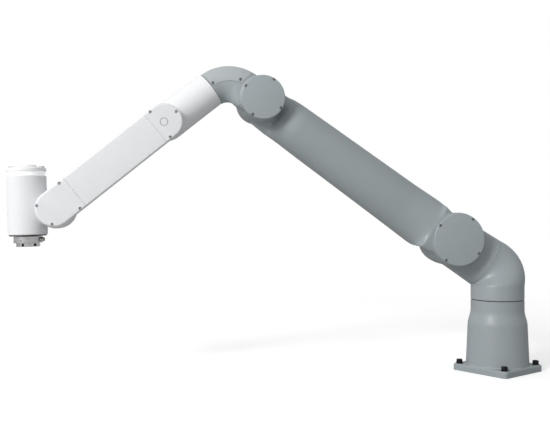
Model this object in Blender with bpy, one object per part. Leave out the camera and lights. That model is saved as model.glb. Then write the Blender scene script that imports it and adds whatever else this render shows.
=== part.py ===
"""Six-axis collaborative robot arm, bolted to a flat surface, modelled at real size.

World frame: metres, +Z up, origin at the centre of the base's underside, on the axis of joint 1.
The foot's sides run along X and Y.  Every link is built in its own joint's frame, which hangs from an
empty on the joint's axis; lengths inside the helper functions are in millimetres.
"""

import math

import bmesh
import bpy
from mathutils import Matrix, Vector

MM = 0.001

# ---- kinematics (mm, degrees) ----
J2_HEIGHT = 400.0  # joint 2 above the underside
J2_FORWARD = 150.0  # joint 2 in front of joint 1
LOWER_ARM = 707.0  # joint 2 to joint 3
ELBOW_OFFSET = 110.0  # joint 3 to the axis of joint 4
FOREARM = 637.0  # along the joint 4 axis to joint 5
WRIST_OFFSET = 80.0  # joint 5 to the axis of joint 6
FLANGE_REACH = 101.0  # joint 5 down to the flange face
BASE_YAW = -29.36  # arm plane against the foot
LOWER_ARM_TILT = 34.67  # above horizontal
FOREARM_TILT = -38.9  # below horizontal
TOOL_TILT = 1.46  # tool axis against vertical

# ---- base ----
PLATE = 191.0
PLATE_THICK = 20.0
PLATE_CORNER = 11.0
BOLT_SPACING = 160.0
COLUMN_FOOT_R = 93.2
COLUMN_MID_R = 88.0
COLUMN_TOP_R = 79.0
COLUMN_TOP = 215.4
SHOULDER_BOTTOM = 217.6

# ---- shoulder ----
PIPE_R = 79.0
SEAM_2 = 134.0  # seam of the joint housing, from joint 2
J2_PLANE = 20.0  # interface plane of joint 2 along its axis
J2_HUB_R = 79.5
J2_FACE = 69.0

# ---- elbow ----
J3_PLANE = 9.5
J3_DRUM_R = 63.0
J3_FACE = 70.5
NECK_X, NECK_Z = 97.0, 26.0  # the middle of the elbow's bend
COVER_END = 90.3
NECK_R = 50.0
J4_SEAM = 93.3

# ---- forearm and wrist ----
SIDE_FRONT = 83.5
SIDE_SPLIT = 68.5
SIDE_BACK = 56.0
SIDE_HALF = 49.0
COVER_A_FROM, COVER_A_TO = 260.0, 292.0
COVER_B_FROM = 567.4
WRIST_R = 52.6
WRIST_BOTTOM, WRIST_TOP = -68.6, 91.0

GAP = 0.3


# ---------------------------------------------------------------- scene helpers
def clear():
    for obj in list(bpy.data.objects):
        bpy.data.objects.remove(obj, do_unlink=True)


clear()


def material(name, color, roughness, metallic=0.0):
    mat = bpy.data.materials.new(name)
    mat.use_nodes = True
    shader = mat.node_tree.nodes["Principled BSDF"]
    shader.inputs["Base Color"].default_value = (*color, 1.0)
    shader.inputs["Roughness"].default_value = roughness
    shader.inputs["Metallic"].default_value = metallic
    return mat


LOOKS = {
    "grey": ((0.235, 0.265, 0.275), 0.42, 0.0),
    "white": ((0.78, 0.79, 0.80), 0.38, 0.0),
    "steel": ((0.55, 0.56, 0.57), 0.28, 1.0),
    "black": ((0.02, 0.02, 0.022), 0.45, 0.0),
    "screw": ((0.30, 0.31, 0.32), 0.4, 1.0),
    "alu": ((0.62, 0.63, 0.64), 0.4, 1.0),
    "rubber": ((0.03, 0.03, 0.035), 0.7, 0.0),
    "lens": ((0.9, 0.92, 0.93), 0.3, 0.0),
    "button": ((0.55, 0.56, 0.58), 0.4, 0.0),
}


def empty(name, parent, location, rot_axis=None, degrees=0.0):
    obj = bpy.data.objects.new(name, None)
    bpy.context.scene.collection.objects.link(obj)
    obj.parent = parent
    obj.location = Vector(location) * MM
    if rot_axis == "Y":
        obj.rotation_euler = (0.0, math.radians(degrees), 0.0)
    elif rot_axis == "Z":
        obj.rotation_euler = (0.0, 0.0, math.radians(degrees))
    return obj


def build(name, parent, verts, faces, look=None, cutter=False):
    mesh = bpy.data.meshes.new(name)
    bm = bmesh.new()
    made = [bm.verts.new(Vector(v) * MM) for v in verts]
    for face in faces:
        bm.faces.new([made[i] for i in face])
    bmesh.ops.recalc_face_normals(bm, faces=bm.faces[:])
    bm.to_mesh(mesh)
    bm.free()
    mesh.shade_smooth()
    mesh.set_sharp_from_angle(angle=math.radians(32))
    obj = bpy.data.objects.new(name, mesh)
    bpy.context.scene.collection.objects.link(obj)
    obj.parent = parent
    if cutter:
        obj.hide_render = True
        obj.display_type = "WIRE"
    else:
        color, rough, metal = LOOKS[look]
        mesh.materials.append(material(name + "_material", color, rough, metal))
    return obj


def boolean(obj, other, operation):
    mod = obj.modifiers.new(operation.title() + "_" + other.name[:30], "BOOLEAN")
    mod.operation = operation
    mod.object = other
    mod.solver = "EXACT"
    return obj


def cut(obj, *others):
    for other in others:
        boolean(obj, other, "DIFFERENCE")
    return obj


def join(obj, *others):
    for other in others:
        boolean(obj, other, "UNION")
    return obj


# ---------------------------------------------------------------- shape helpers
AXES = {
    "Z": lambda a, b, h: (a, b, h),
    "Y": lambda a, b, h: (a, h, b),
    "X": lambda a, b, h: (h, a, b),
}


def turned(profile, segs, axis="Z", centre=(0, 0, 0), closed=False, phase=0.0):
    """Verts and faces of a turned shape.  profile is (radius, height) from one end to the other; closed makes a ring."""
    verts, faces, rows = [], [], []
    put = AXES[axis]
    for r, h in profile:
        if r < 1e-6:
            rows.append([len(verts)])
            p = put(0, 0, h)
            verts.append((p[0] + centre[0], p[1] + centre[1], p[2] + centre[2]))
            continue
        row = []
        for k in range(segs):
            t = 2 * math.pi * (k + phase) / segs
            p = put(r * math.cos(t), r * math.sin(t), h)
            row.append(len(verts))
            verts.append((p[0] + centre[0], p[1] + centre[1], p[2] + centre[2]))
        rows.append(row)
    pairs = list(zip(rows, rows[1:]))
    if closed:
        pairs.append((rows[-1], rows[0]))
    for a, b in pairs:
        for k in range(segs):
            n = (k + 1) % segs
            if len(a) == 1 and len(b) > 1:
                faces.append((a[0], b[k], b[n]))
            elif len(b) == 1 and len(a) > 1:
                faces.append((a[k], a[n], b[0]))
            elif len(a) > 1 and len(b) > 1:
                faces.append((a[k], a[n], b[n], b[k]))
    if not closed:
        for row in (rows[0], rows[-1]):
            if len(row) > 1:
                faces.append(tuple(row))
    return verts, faces


def lathe(name, parent, profile, segs=32, axis="Z", centre=(0, 0, 0), look=None, closed=False, cutter=False, phase=0.0):
    verts, faces = turned(profile, segs, axis, centre, closed, phase)
    return build(name, parent, verts, faces, look, cutter)


def rod(r, h0, h1, c0=0.0, c1=0.0):
    """Profile of a solid cylinder with chamfers c0 and c1 at its two ends."""
    out = [(r - c0, h0)] if c0 else []
    out += [(r, h0 + c0), (r, h1 - c1)]
    if c1:
        out.append((r - c1, h1))
    return out


def tube(r, bore, h0, h1, c=0.0):
    """Closed profile of a ring or a hollow cylinder, chamfered outside."""
    return [(bore, h0), (r - c, h0), (r, h0 + c), (r, h1 - c), (r - c, h1), (bore, h1)] if c else [(bore, h0), (r, h0), (r, h1), (bore, h1)]


def section(count, half_width, y0, y1, power, shift=0.0):
    """Points (lateral, y) round a superellipse, lateral in the arm's plane and y along the joints' axes."""
    pts = []
    for k in range(count):
        t = 2 * math.pi * (k + 0.5) / count
        c, s = math.cos(t), math.sin(t)
        lat = math.copysign(abs(c) ** (2.0 / power), c) * half_width + shift
        y = math.copysign(abs(s) ** (2.0 / power), s) * (y1 - y0) / 2 + (y0 + y1) / 2
        pts.append((lat, y))
    return pts


def skin(name, parent, rings, look=None, cutter=False, loop=False):
    """Rings of equal count joined into one closed body: capped at both ends, or looped round a hollow."""
    count = len(rings[0])
    verts = [p for ring in rings for p in ring]
    faces = []
    pairs = [(i, i + 1) for i in range(len(rings) - 1)]
    if loop:
        pairs.append((len(rings) - 1, 0))
    for a, b in pairs:
        for k in range(count):
            n = (k + 1) % count
            faces.append((a * count + k, a * count + n, b * count + n, b * count + k))
    if not loop:
        faces.append(tuple(range(count)))
        faces.append(tuple((len(rings) - 1) * count + k for k in range(count)))
    return build(name, parent, verts, faces, look, cutter)


def straight(sections, count):
    """Rings along X from rows (x, half width, y0, y1, power, shift)."""
    return [[(x, y, lat) for lat, y in section(count, hw, y0, y1, power, shift)] for x, hw, y0, y1, power, shift in sections]


def stadium(x0, r0, x1, r1, z0=0.0, z1=0.0, steps=8, flat0=False, flat1=False):
    """Plan outline (x, z): a long shape with a round or a flat end at x0 and x1."""
    pts = []
    if flat1:
        pts += [(x1, z1 - r1), (x1, z1 + r1)]
    else:
        pts += [(x1 + r1 * math.cos(t), z1 + r1 * math.sin(t)) for t in [-math.pi / 2 + math.pi * k / steps for k in range(steps + 1)]]
    if flat0:
        pts += [(x0, z0 + r0), (x0, z0 - r0)]
    else:
        pts += [(x0 + r0 * math.cos(t), z0 + r0 * math.sin(t)) for t in [math.pi / 2 + math.pi * k / steps for k in range(steps + 1)]]
    return pts


def slab(name, parent, outlines, look=None, cutter=False):
    """Plan outlines of equal count, each at its own y: rows (outline, y)."""
    return skin(name, parent, [[(x, y, z) for x, z in outline] for outline, y in outlines], look, cutter)


# ---------------------------------------------------------------- joints' frames
base_frame = empty("base_frame", None, (0, 0, 0))
j1 = empty("j1_frame", base_frame, (0, 0, 0), "Z", BASE_YAW)
j2 = empty("j2_frame", j1, (J2_FORWARD, 0, J2_HEIGHT), "Y", -LOWER_ARM_TILT)
j3 = empty("j3_frame", j2, (LOWER_ARM, 0, 0), "Y", LOWER_ARM_TILT - FOREARM_TILT)
j4 = empty("j4_frame", j3, (0, 0, ELBOW_OFFSET))
j5 = empty("j5_frame", j4, (FOREARM, 0, 0), "Y", FOREARM_TILT + TOOL_TILT)
j6 = empty("j6_frame", j5, (WRIST_OFFSET, 0, 0))


# ---------------------------------------------------------------- base
def rounded_square(half, r, steps=3):
    pts = []
    for cx, cy, start in ((1, 1, 0), (-1, 1, 90), (-1, -1, 180), (1, -1, 270)):
        for k in range(steps + 1):
            t = math.radians(start + 90 * k / steps)
            pts.append((cx * (half - r) + r * math.cos(t), cy * (half - r) + r * math.sin(t)))
    return pts


half = PLATE / 2
plate = skin(
    "plate_blank",
    base_frame,
    [
        [(x, y, 0.0) for x, y in rounded_square(half - 1.0, PLATE_CORNER)],
        [(x, y, 1.0) for x, y in rounded_square(half, PLATE_CORNER)],
        [(x, y, PLATE_THICK - 4.0) for x, y in rounded_square(half, PLATE_CORNER)],
        [(x, y, PLATE_THICK) for x, y in rounded_square(half - 3.0, PLATE_CORNER)],
    ],
    cutter=True,
)
flare = [(COLUMN_MID_R + (COLUMN_TOP_R - COLUMN_MID_R) * (0.5 - 0.5 * math.cos(math.pi * k / 4)), 138.0 + 49.0 * k / 4) for k in range(5)]
base = lathe(
    "base_casting",
    base_frame,
    [(COLUMN_FOOT_R - 2, 6.0), (COLUMN_FOOT_R, 22.0)] + flare + [(COLUMN_TOP_R, COLUMN_TOP - 1.0), (COLUMN_TOP_R - 1.0, COLUMN_TOP)],
    36,
    look="grey",
)
join(base, plate)
cut(base, lathe("base_bore", base_frame, rod(68.0, 52.0, 240.0), 28, cutter=True))
bolt_holes = []
for i, (sx, sy) in enumerate(((1, 1), (-1, 1), (-1, -1), (1, -1))):
    at = (sx * BOLT_SPACING / 2, sy * BOLT_SPACING / 2, 0.0)
    cut(base, lathe(f"bolt_hole_{i + 1}", base_frame, rod(6.8, -5.0, 40.0), 10, centre=at, cutter=True))
    bolt = lathe(
        f"base_bolt_{i + 1}",
        base_frame,
        [(6.0, 0.8), (6.0, 20.3), (9.0, 20.3), (9.0, 31.2), (8.2, 32.0), (5.0, 32.0), (5.0, 25.5), (0.0, 25.5)],
        10,
        centre=at,
        look="black",
    )
# the rear of the column carries a flat pad with the connector panel
pad = skin(
    "panel_pad",
    base_frame,
    [
        [(-78.0, y, z + 79.0) for y, z in rounded_square(34.0, 6.0, 3)],
        [(-95.0, y, z + 79.0) for y, z in rounded_square(34.0, 6.0, 3)],
    ],
    cutter=True,
)
join(base, pad)
panel_seat = skin(
    "panel_seat",
    base_frame,
    [
        [(-60.0, y, z + 79.0) for y, z in rounded_square(27.0, 3.0, 2)],
        [(-110.0, y, z + 79.0) for y, z in rounded_square(27.0, 3.0, 2)],
    ],
    cutter=True,
)
cut(base, panel_seat)
panel = skin(
    "connector_panel",
    base_frame,
    [
        [(-95.3, y, z + 79.0) for y, z in rounded_square(31.5, 5.0, 3)],
        [(-97.0, y, z + 79.0) for y, z in rounded_square(31.5, 5.0, 3)],
        [(-98.0, y, z + 79.0) for y, z in rounded_square(30.5, 5.0, 3)],
    ],
    look="black",
)
for name, y, z, r in (("power_connector", 13.0, 79.0, 10.5), ("signal_connector", -14.0, 90.0, 8.0), ("air_connector", -14.0, 66.0, 6.0)):
    cut(panel, lathe(name + "_hole", base_frame, rod(r + GAP - 2.0, -110.0, -80.0), 12, "X", (0, y, z), cutter=True))
    lathe(
        name,
        base_frame,
        [(r - 2.0, -82.0), (r - 2.0, -98.3), (r, -98.3), (r, -101.5), (r - 0.6, -102.1), (r - 2.6, -102.1), (r - 2.6, -98.9), (0.0, -98.9)],
        12,
        "X",
        (0, y, z),
        look="alu" if name != "power_connector" else "black",
    )
lathe("j1_gear_unit", base_frame, [(20, 60), (58, 60), (58, 100), (67.0, 104), (67.0, 196), (20, 196)], 20, look="alu", closed=True)

# ---------------------------------------------------------------- shoulder (joint 1)
lathe("j1_seal", j1, tube(77.6, 70.5, COLUMN_TOP + 0.5, SHOULDER_BOTTOM - GAP), 32, look="rubber", closed=True)
lathe(
    "j1_output_hub",
    j1,
    [(14, 66), (19.3, 66), (19.3, 198.0), (66.0, 199.0), (66.0, 228.0), (14, 228.0)],
    20,
    look="steel",
    closed=True,
)

FAN = 82.0  # the inner corner of the bend, from both pipe axes
bend = 90.0 - LOWER_ARM_TILT
corner = J2_HEIGHT + 4.5 / math.cos(math.radians(LOWER_ARM_TILT)) - J2_FORWARD * math.tan(math.radians(LOWER_ARM_TILT))
run = FAN * math.tan(math.radians(bend / 2))
pivot = (FAN, corner - run)
SEAM_FROM_CORNER = J2_FORWARD * math.cos(math.radians(LOWER_ARM_TILT)) + (J2_HEIGHT - corner) * math.sin(math.radians(LOWER_ARM_TILT)) - SEAM_2
PIPE_COUNT = 26


def pipe_ring(x, z, angle, inner, outer, y0, y1, power):
    """A section of the bent pipe: its plane turns by angle about the inner corner (x, z)."""
    a = math.radians(angle)
    out = (-math.cos(a), math.sin(a))
    mid, hw = (inner + outer) / 2, (outer - inner) / 2
    return [(x + out[0] * (mid + lat), y, z + out[1] * (mid + lat)) for lat, y in section(PIPE_COUNT, hw, y0, y1, power)]


def shoulder_rings(wall, low, high):
    rings = []
    r = PIPE_R - wall
    for z in (low, pivot[1]):
        rings.append([(-lat, y, z) for lat, y in section(PIPE_COUNT, r, -r, r, 2.0)])
    steps = 5
    for k in range(1, steps + 1):
        f = k / steps
        s = 0.5 - 0.5 * math.cos(math.pi * f)
        extra = 9.0 * math.sin(math.pi * f)
        rings.append(
            pipe_ring(
                pivot[0],
                pivot[1],
                bend * f,
                FAN - PIPE_R + wall + 2.8 * s,
                FAN + PIPE_R - wall + extra + 4.3 * s,
                -(PIPE_R - wall) - 2.0 * s,
                (PIPE_R - wall) * (1 - s) + (42.0 - wall) * s,
                2.0 + 0.35 * s,
            )
        )
    # straight on along the lower arm's rest direction to the seam
    d = (math.cos(math.radians(LOWER_ARM_TILT)), math.sin(math.radians(LOWER_ARM_TILT)))
    rest = SEAM_FROM_CORNER - run
    if high:
        rings.append([(x + d[0] * (rest + high), y, z + d[1] * (rest + high)) for x, y, z in rings[-1]])
    return rings


outer = shoulder_rings(0.0, SHOULDER_BOTTOM, -GAP)
inner = shoulder_rings(7.0, SHOULDER_BOTTOM, -GAP)
inner[0] = [(x, y, SHOULDER_BOTTOM) for x, y, z in inner[0]]
skin("shoulder_casting", j1, outer + inner[::-1], look="grey", loop=True)

# joint housing: built along the lower arm's rest direction, x measured from joint 2
sh = empty("shoulder_housing_frame", j1, (J2_FORWARD, 0, J2_HEIGHT), "Y", -LOWER_ARM_TILT)
neck = skin(
    "shoulder_housing_neck",
    sh,
    straight(
        [
            (-SEAM_2, 79.75, -81.0, 42.0, 2.35, 8.0),
            (-115.0, 79.0, -82.5, 38.0, 2.4, 7.8),
            (-60.0, 76.8, -84.0, 33.0, 2.55, 6.2),
            (0.0, 74.0, -85.0, 30.0, 2.7, 3.5),
        ],
        PIPE_COUNT,
    ),
    cutter=True,
)
housing = lathe("shoulder_joint_housing", sh, [(69.5, -87.0), (73.0, -83.5), (76.5, -60.0), (78.5, -25.0), (79.0, J2_PLANE - 1.5), (78.0, J2_PLANE - 0.5)], 32, "Y", look="grey")
join(housing, neck)
cut(
    housing,
    lathe("housing_front_relief", sh, rod(82.5, J2_PLANE - 0.5, 90.0), 32, "Y", cutter=True),
    lathe("housing_pocket", sh, rod(64.0, -95.0, 40.0), 24, "Y", cutter=True),
    skin(
        "housing_passage",
        sh,
        straight([(-SEAM_2 - 10, 71.5, -73.0, 34.0, 2.35, 8.0), (-90.0, 68.0, -74.0, 24.0, 2.5, 7.0), (-40.0, 56.0, -70.0, 12.0, 2.8, 3.0)], 14),
        cutter=True,
    ),
)
lathe("shoulder_rear_cover", sh, [(64.5, -87.4), (69.0, -87.4), (69.0, -90.5), (65.5, -94.0), (0, -95.0)], 28, "Y", look="grey")
lathe("j2_gear_unit", sh, [(18, -80), (50, -80), (50, -40), (62.5, -36), (62.5, 9), (18, 9)], 20, "Y", look="alu", closed=True)

# ---------------------------------------------------------------- lower arm (joint 2)
lathe("j2_output_hub", j2, [(12, -74), (17.3, -74), (17.3, 10.5), (60.0, 11.5), (60.0, J2_PLANE + 0.6), (12, J2_PLANE + 0.6)], 20, "Y", look="steel", closed=True)
arm = skin(
    "lower_arm_casting",
    j2,
    straight(
        [
            (20.0, 66.0, J2_PLANE + 2.0, 60.0, 3.0, -6.0),
            (58.0, 68.0, J2_PLANE + 1.5, 61.8, 2.8, -10.0),
            (80.0, 71.5, J2_PLANE + 1.0, 61.5, 2.65, -8.5),
            (84.5, 74.0, -16.0, 60.6, 2.45, -8.0),
            (90.0, 76.0, -56.0, 59.4, 2.35, -6.0),
            (104.0, 77.0, -78.0, 57.0, 2.25, -4.0),
            (140.0, 76.2, -88.5, 52.3, 2.12, -2.5),
            (186.0, 75.0, -91.0, 48.5, 2.05, -2.0),
            (570.0, 67.3, -87.0, 45.5, 2.05, -0.5),
            (600.0, 66.4, -86.0, 40.0, 2.15, 0.0),
            (626.0, 65.5, -85.0, 27.0, 2.3, 0.0),
            (642.0, 64.3, -85.0, 8.5, 2.4, 0.0),
            (690.0, 61.4, -84.0, 7.5, 2.5, 0.0),
        ],
        24,
    ),
    look="grey",
)
join(
    arm,
    lathe("lower_hub", j2, rod(J2_HUB_R, J2_PLANE + 1.0, 61.7, 1.0, 2.0), 32, "Y", cutter=True),
    lathe("lower_end_drum", j2, [(57.5, -84.5), (59.6, -81.0), (60.8, -50.0), (61.4, J3_PLANE - 1.5), (60.4, J3_PLANE - 0.5)], 28, "Y", (LOWER_ARM, 0, 0), cutter=True),
)
cut(
    arm,
    skin(
        "lower_arm_hollow",
        j2,
        straight(
            [
                (30.0, 51.0, J2_PLANE + 9.0, 54.0, 3.0, -4.0),
                (82.0, 60.5, J2_PLANE + 9.0, 54.0, 2.8, -6.0),
                (116.0, 66.0, -46.0, 49.0, 2.3, -3.0),
                (188.0, 66.0, -83.0, 40.0, 2.05, -2.0),
                (560.0, 59.0, -78.0, 38.0, 2.05, -0.5),
                (610.0, 56.5, -76.0, 26.0, 2.3, 0.0),
                (660.0, 50.0, -76.0, -4.0, 2.6, 0.0),
            ],
            14,
        ),
        cutter=True,
    ),
    lathe("lower_hub_pocket", j2, rod(64.0, J2_PLANE + 9.0, 80.0), 24, "Y", cutter=True),
    lathe("lower_hub_bore", j2, rod(30.0, J2_PLANE - 10.0, 60.0), 14, "Y", cutter=True),
    lathe("lower_end_pocket", j2, rod(54.0, -95.0, 30.0), 22, "Y", (LOWER_ARM, 0, 0), cutter=True),
)
cover = lathe("lower_arm_hub_cover", j2, [(77.5, 62.0), (77.5, 66.6), (75.4, J2_FACE), (0, J2_FACE)], 36, "Y", look="grey")
hub_screws = [(73.0 * math.cos(math.radians(a)), 73.0 * math.sin(math.radians(a))) for a in (0, 90, 180, 270)]


def screw_seat(name, parent, x, z, low, seat, high, axis="Y"):
    """A stepped hole: 2.4 mm radius below the seat for the shank, 4.2 mm above it for the head."""
    return lathe(name, parent, [(0, low), (2.4, low), (2.4, seat), (4.2, seat), (4.2, high), (0, high)], 8, axis, (x, 0, z), cutter=True)


def cover_screw(name, parent, x, z, low, seat, look="screw"):
    """A pan-head screw whose head rests on the seat."""
    return lathe(name, parent, [(2.0, low), (2.0, seat + GAP), (3.7, seat + GAP), (3.7, seat + 2.0), (2.9, seat + 2.7)], 8, "Y", (x, 0, z), look=look)


for i, (x, z) in enumerate(hub_screws):
    seat = screw_seat(f"hub_screw_seat_{i + 1}", j2, x, z, 50.0, 65.6, 80.0)
    cut(cover, seat)
    cut(arm, seat)
    cover_screw(f"hub_cover_screw_{i + 1}", j2, x, z, 51.0, 65.6)
lathe("lower_arm_rear_cover", j2, [(54.6, -84.9), (57.2, -84.9), (57.2, -88.0), (54.5, -91.0), (0, -92.0)], 26, "Y", (LOWER_ARM, 0, 0), look="grey")
lathe("j3_gear_unit", j2, [(15, -80), (40, -80), (40, -44), (52.5, -40), (52.5, -1), (15, -1)], 20, "Y", (LOWER_ARM, 0, 0), look="alu", closed=True)

# ---------------------------------------------------------------- elbow (joint 3)
lathe("j3_output_hub", j3, [(10, -72), (14.3, -72), (14.3, 1.0), (50.0, 2.0), (50.0, J3_PLANE + 0.5), (10, J3_PLANE + 0.5)], 20, "Y", look="steel", closed=True)
CENTRE = (NECK_X, NECK_Z)
NECK = [  # angle round the bend, radius of its middle, half width, y0, y1, power
    (0.0, 78.5, 54.5, 13.0, 64.0, 3.2),
    (18.0, 77.0, 53.0, 12.0, 63.0, 2.9),
    (34.0, 78.0, 52.0, 11.5, 60.5, 2.5),
    (45.0, 80.0, 51.6, -6.0, 57.5, 2.3),
    (56.0, 82.0, 51.2, -24.0, 54.8, 2.15),
    (68.0, 83.4, 50.6, -41.0, 52.0, 2.05),
    (78.0, 84.0, 50.2, -48.5, 50.5, 2.0),
]


def neck_rings(wall, count, first=0.0, last=J4_SEAM):
    rings = []
    for angle, mid, hw, y0, y1, power in NECK:
        if angle < first:
            continue
        a = math.radians(angle)
        out = (-math.cos(a), math.sin(a))
        rings.append([(CENTRE[0] + out[0] * (mid + lat), y, CENTRE[1] + out[1] * (mid + lat)) for lat, y in section(count, hw - wall, y0 + wall, y1 - wall, power)])
    rings.append([(last, y, ELBOW_OFFSET + lat) for lat, y in section(count, NECK_R - wall, -NECK_R + wall, NECK_R - wall, 2.0)])
    return rings


elbow = lathe("elbow_casting", j3, rod(J3_DRUM_R, J3_PLANE + 0.8, 65.2, 1.0, 1.5), 30, "Y", look="grey")
start = [(10.5 + (x - 18.5) * 0.93, y, z - 28.0) for x, y, z in neck_rings(0.0, 24)[0]]
join(elbow, skin("elbow_neck", j3, [start] + neck_rings(0.0, 24), cutter=True))
elbow_hollow = skin("elbow_neck_hollow", j3, neck_rings(5.0, 14, 10.0, J4_SEAM + 10.0), cutter=True)
cut(
    elbow,
    lathe("elbow_pocket", j3, rod(50.0, J3_PLANE + 8.0, 80.0), 22, "Y", cutter=True),
    lathe("elbow_bore", j3, rod(24.0, J3_PLANE - 5.0, 60.0), 14, "Y", cutter=True),
    elbow_hollow,
)


def saddle(name, grow):
    """The region outside the bend's middle line that the top cover takes; grow widens it."""
    inner_r = 86.0 - grow
    a0, a1 = 30.5, 85.0
    pts = [(COVER_END + grow, 200.0), (-70.0, 200.0), (-70.0, 73.0 - grow), (-20.0, 71.0 - grow)]
    for k in range(7):
        a = math.radians(a0 + (a1 - a0) * k / 6)
        pts.append((CENTRE[0] - inner_r * math.cos(a), max(CENTRE[1] + inner_r * math.sin(a), 69.7 - grow)))
    pts.append((COVER_END + grow, CENTRE[1] + inner_r + 0.5))
    return slab(name, j3, [(pts, -80.0), (pts, 80.0)], cutter=True)


cut(elbow, saddle("top_cover_opening", GAP))
top = skin("elbow_top_cover", j3, neck_rings(0.0, 24), look="grey")
cut(top, elbow_hollow)
boolean(top, saddle("top_cover_region", 0.0), "INTERSECT")
for i, (x, z, seat_y) in enumerate(((84.4, 118.0, 47.4), (18.9, 78.0, 57.0))):
    cut(top, screw_seat(f"top_screw_seat_{i + 1}", j3, x, z, 20.0, seat_y, 90.0))
    cover_screw(f"top_cover_screw_{i + 1}", j3, x, z, seat_y - 8.0, seat_y)
drum_cover = lathe("elbow_drum_cover", j3, [(61.8, 65.5), (61.8, 68.5), (59.8, J3_FACE), (0, J3_FACE)], 34, "Y", look="grey")
DRUM_SCREWS = (70.0, 160.0, 250.0, 340.0)
for i, angle in enumerate(DRUM_SCREWS):
    x, z = 58.4 * math.cos(math.radians(angle)), 58.4 * math.sin(math.radians(angle))
    seat = screw_seat(f"drum_screw_seat_{i + 1}", j3, x, z, 55.0, 67.3, 85.0)
    cut(drum_cover, seat)
    cut(elbow, seat)
    cover_screw(f"drum_cover_screw_{i + 1}", j3, x, z, 56.0, 67.3)
lathe("j4_output_hub", j3, [(9, 78.0), (40.0, 78.0), (40.0, 92.0), (13.3, 93.0), (13.3, 176.0), (9, 176.0)], 20, "X", (0, 0, ELBOW_OFFSET), look="steel", closed=True)

# ---------------------------------------------------------------- forearm (joint 4)
START = J4_SEAM + 0.7
fore = skin(
    "forearm_casting",
    j4,
    straight(
        [
            (START, 50.3, -50.0, 50.0, 2.0, 1.0),
            (150.0, 51.0, -51.0, 51.0, 2.0, 2.0),
            (215.0, 52.0, -52.0, 52.0, 2.0, 3.0),
            (248.0, 51.6, -50.0, 55.0, 2.1, 2.4),
            (262.0, 49.5, -46.0, 62.0, 2.2, 1.5),
            (285.0, 43.0, -36.0, 65.0, 2.3, 1.5),
            (320.0, 39.0, -14.0, 66.0, 2.4, 2.0),
            (360.0, 37.0, 14.0, 66.0, 2.5, 2.0),
            (400.0, 36.0, 40.0, 66.0, 2.5, 2.0),
            (425.0, 35.0, 57.5, 66.0, 2.5, 2.0),
        ],
        24,
    ),
    look="white",
)


def arm_plan(inset, back=False):
    """Outline of the whole side arm, inset all round."""
    return stadium(COVER_A_FROM, SIDE_HALF + 0.5 - inset, FOREARM, SIDE_HALF - inset, 3.0, 0.8, 8)


join(
    fore,
    slab(
        "side_arm_back",
        j4,
        [(arm_plan(7.4), SIDE_BACK), (arm_plan(2.1), SIDE_BACK + 2.7), (arm_plan(0.0), SIDE_BACK + 7.0), (arm_plan(0.0), SIDE_SPLIT - 0.3)],
        cutter=True,
    ),
    lathe("motor_drum", j4, rod(46.2, 24.0, SIDE_SPLIT - 0.8), 28, "Y", (COVER_A_FROM, 0, 3.0), cutter=True),
)
fore_hollow = skin(
    "forearm_tube_hollow",
    j4,
    straight([(START - 10.0, 45.5, -45.5, 45.5, 2.0, 1.0), (215.0, 46.5, -46.5, 46.5, 2.0, 3.0), (262.0, 42.0, -40.0, 46.0, 2.2, 1.5), (300.0, 34.0, -20.0, 48.0, 2.3, 1.5)], 14),
    cutter=True,
)
cut(
    fore,
    fore_hollow,
    slab("side_arm_pocket", j4, [(stadium(258.0, 38.0, 634.0, 38.0, 3.0, 0.0, 6), 60.5), (stadium(258.0, 38.0, 634.0, 38.0, 3.0, 0.0, 6), 90.0)], cutter=True),
    lathe("motor_window", j4, rod(33.0, 20.0, 80.0), 14, "Y", (256.0, 0, 2.0), cutter=True),
    lathe("wrist_window", j4, rod(33.0, 30.0, 80.0), 20, "Y", (FOREARM, 0, 0), cutter=True),
)


def shell_cover(name, outline, pocket, look="white"):
    """A shallow cover with a soft front edge, hollow underneath."""
    y0, y1 = SIDE_SPLIT, SIDE_FRONT
    obj = slab(name, j4, [(outline(0.0), y0), (outline(0.0), y1 - 6.0), (outline(1.8), y1 - 2.4), (outline(5.5), y1)], look=look)
    cut(obj, slab(name + "_hollow", j4, [(pocket, y0 - 10.0), (pocket, y1 - 4.0)], cutter=True))
    return obj


def plan_a(i):
    return stadium(COVER_A_FROM, SIDE_HALF + 0.5 - i, COVER_A_TO - 0.2, SIDE_HALF + 0.5 - i, 3.0, 2.9, 9, flat1=True)


def plan_mid(i):
    return stadium(COVER_A_TO + 0.2, SIDE_HALF + 0.5 - i, COVER_B_FROM - 0.2, SIDE_HALF - i, 2.9, 1.2, 12, flat0=True, flat1=True)


def plan_b(i):
    return stadium(COVER_B_FROM + 0.2, SIDE_HALF - i, FOREARM, SIDE_HALF - i, 1.2, 0.8, 9, flat0=True)


cover_a = shell_cover("motor_cover", plan_a, stadium(COVER_A_FROM, 34.0, 286.0, 34.0, 3.0, 2.9, 6, flat1=True))
cover_m = shell_cover("side_arm_panel", plan_mid, stadium(298.0, 41.0, 561.0, 41.0, 2.9, 0.4, 8, flat0=True, flat1=True))
cover_b = shell_cover("wrist_drive_cover", plan_b, stadium(573.5, 34.0, FOREARM, 34.0, 0.3, 0.0, 6, flat0=True))
SCREWS_A = ((275.6, 46.3), (275.6, -40.0), (219.5, 4.0))
SCREWS_B = ((584.2, 44.3), (584.2, -41.8), (666.6, 33.4), (666.6, -29.6))
for group, screws, cover_obj in (("motor", SCREWS_A, cover_a), ("drive", SCREWS_B, cover_b)):
    for i, (x, z) in enumerate(screws):
        seat = screw_seat(f"{group}_screw_seat_{i + 1}", j4, x, z, 62.0, 77.9, 95.0)
        cut(cover_obj, seat)
        cut(fore, seat)
        cover_screw(f"{group}_cover_screw_{i + 1}", j4, x, z, 63.0, 77.9)
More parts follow.
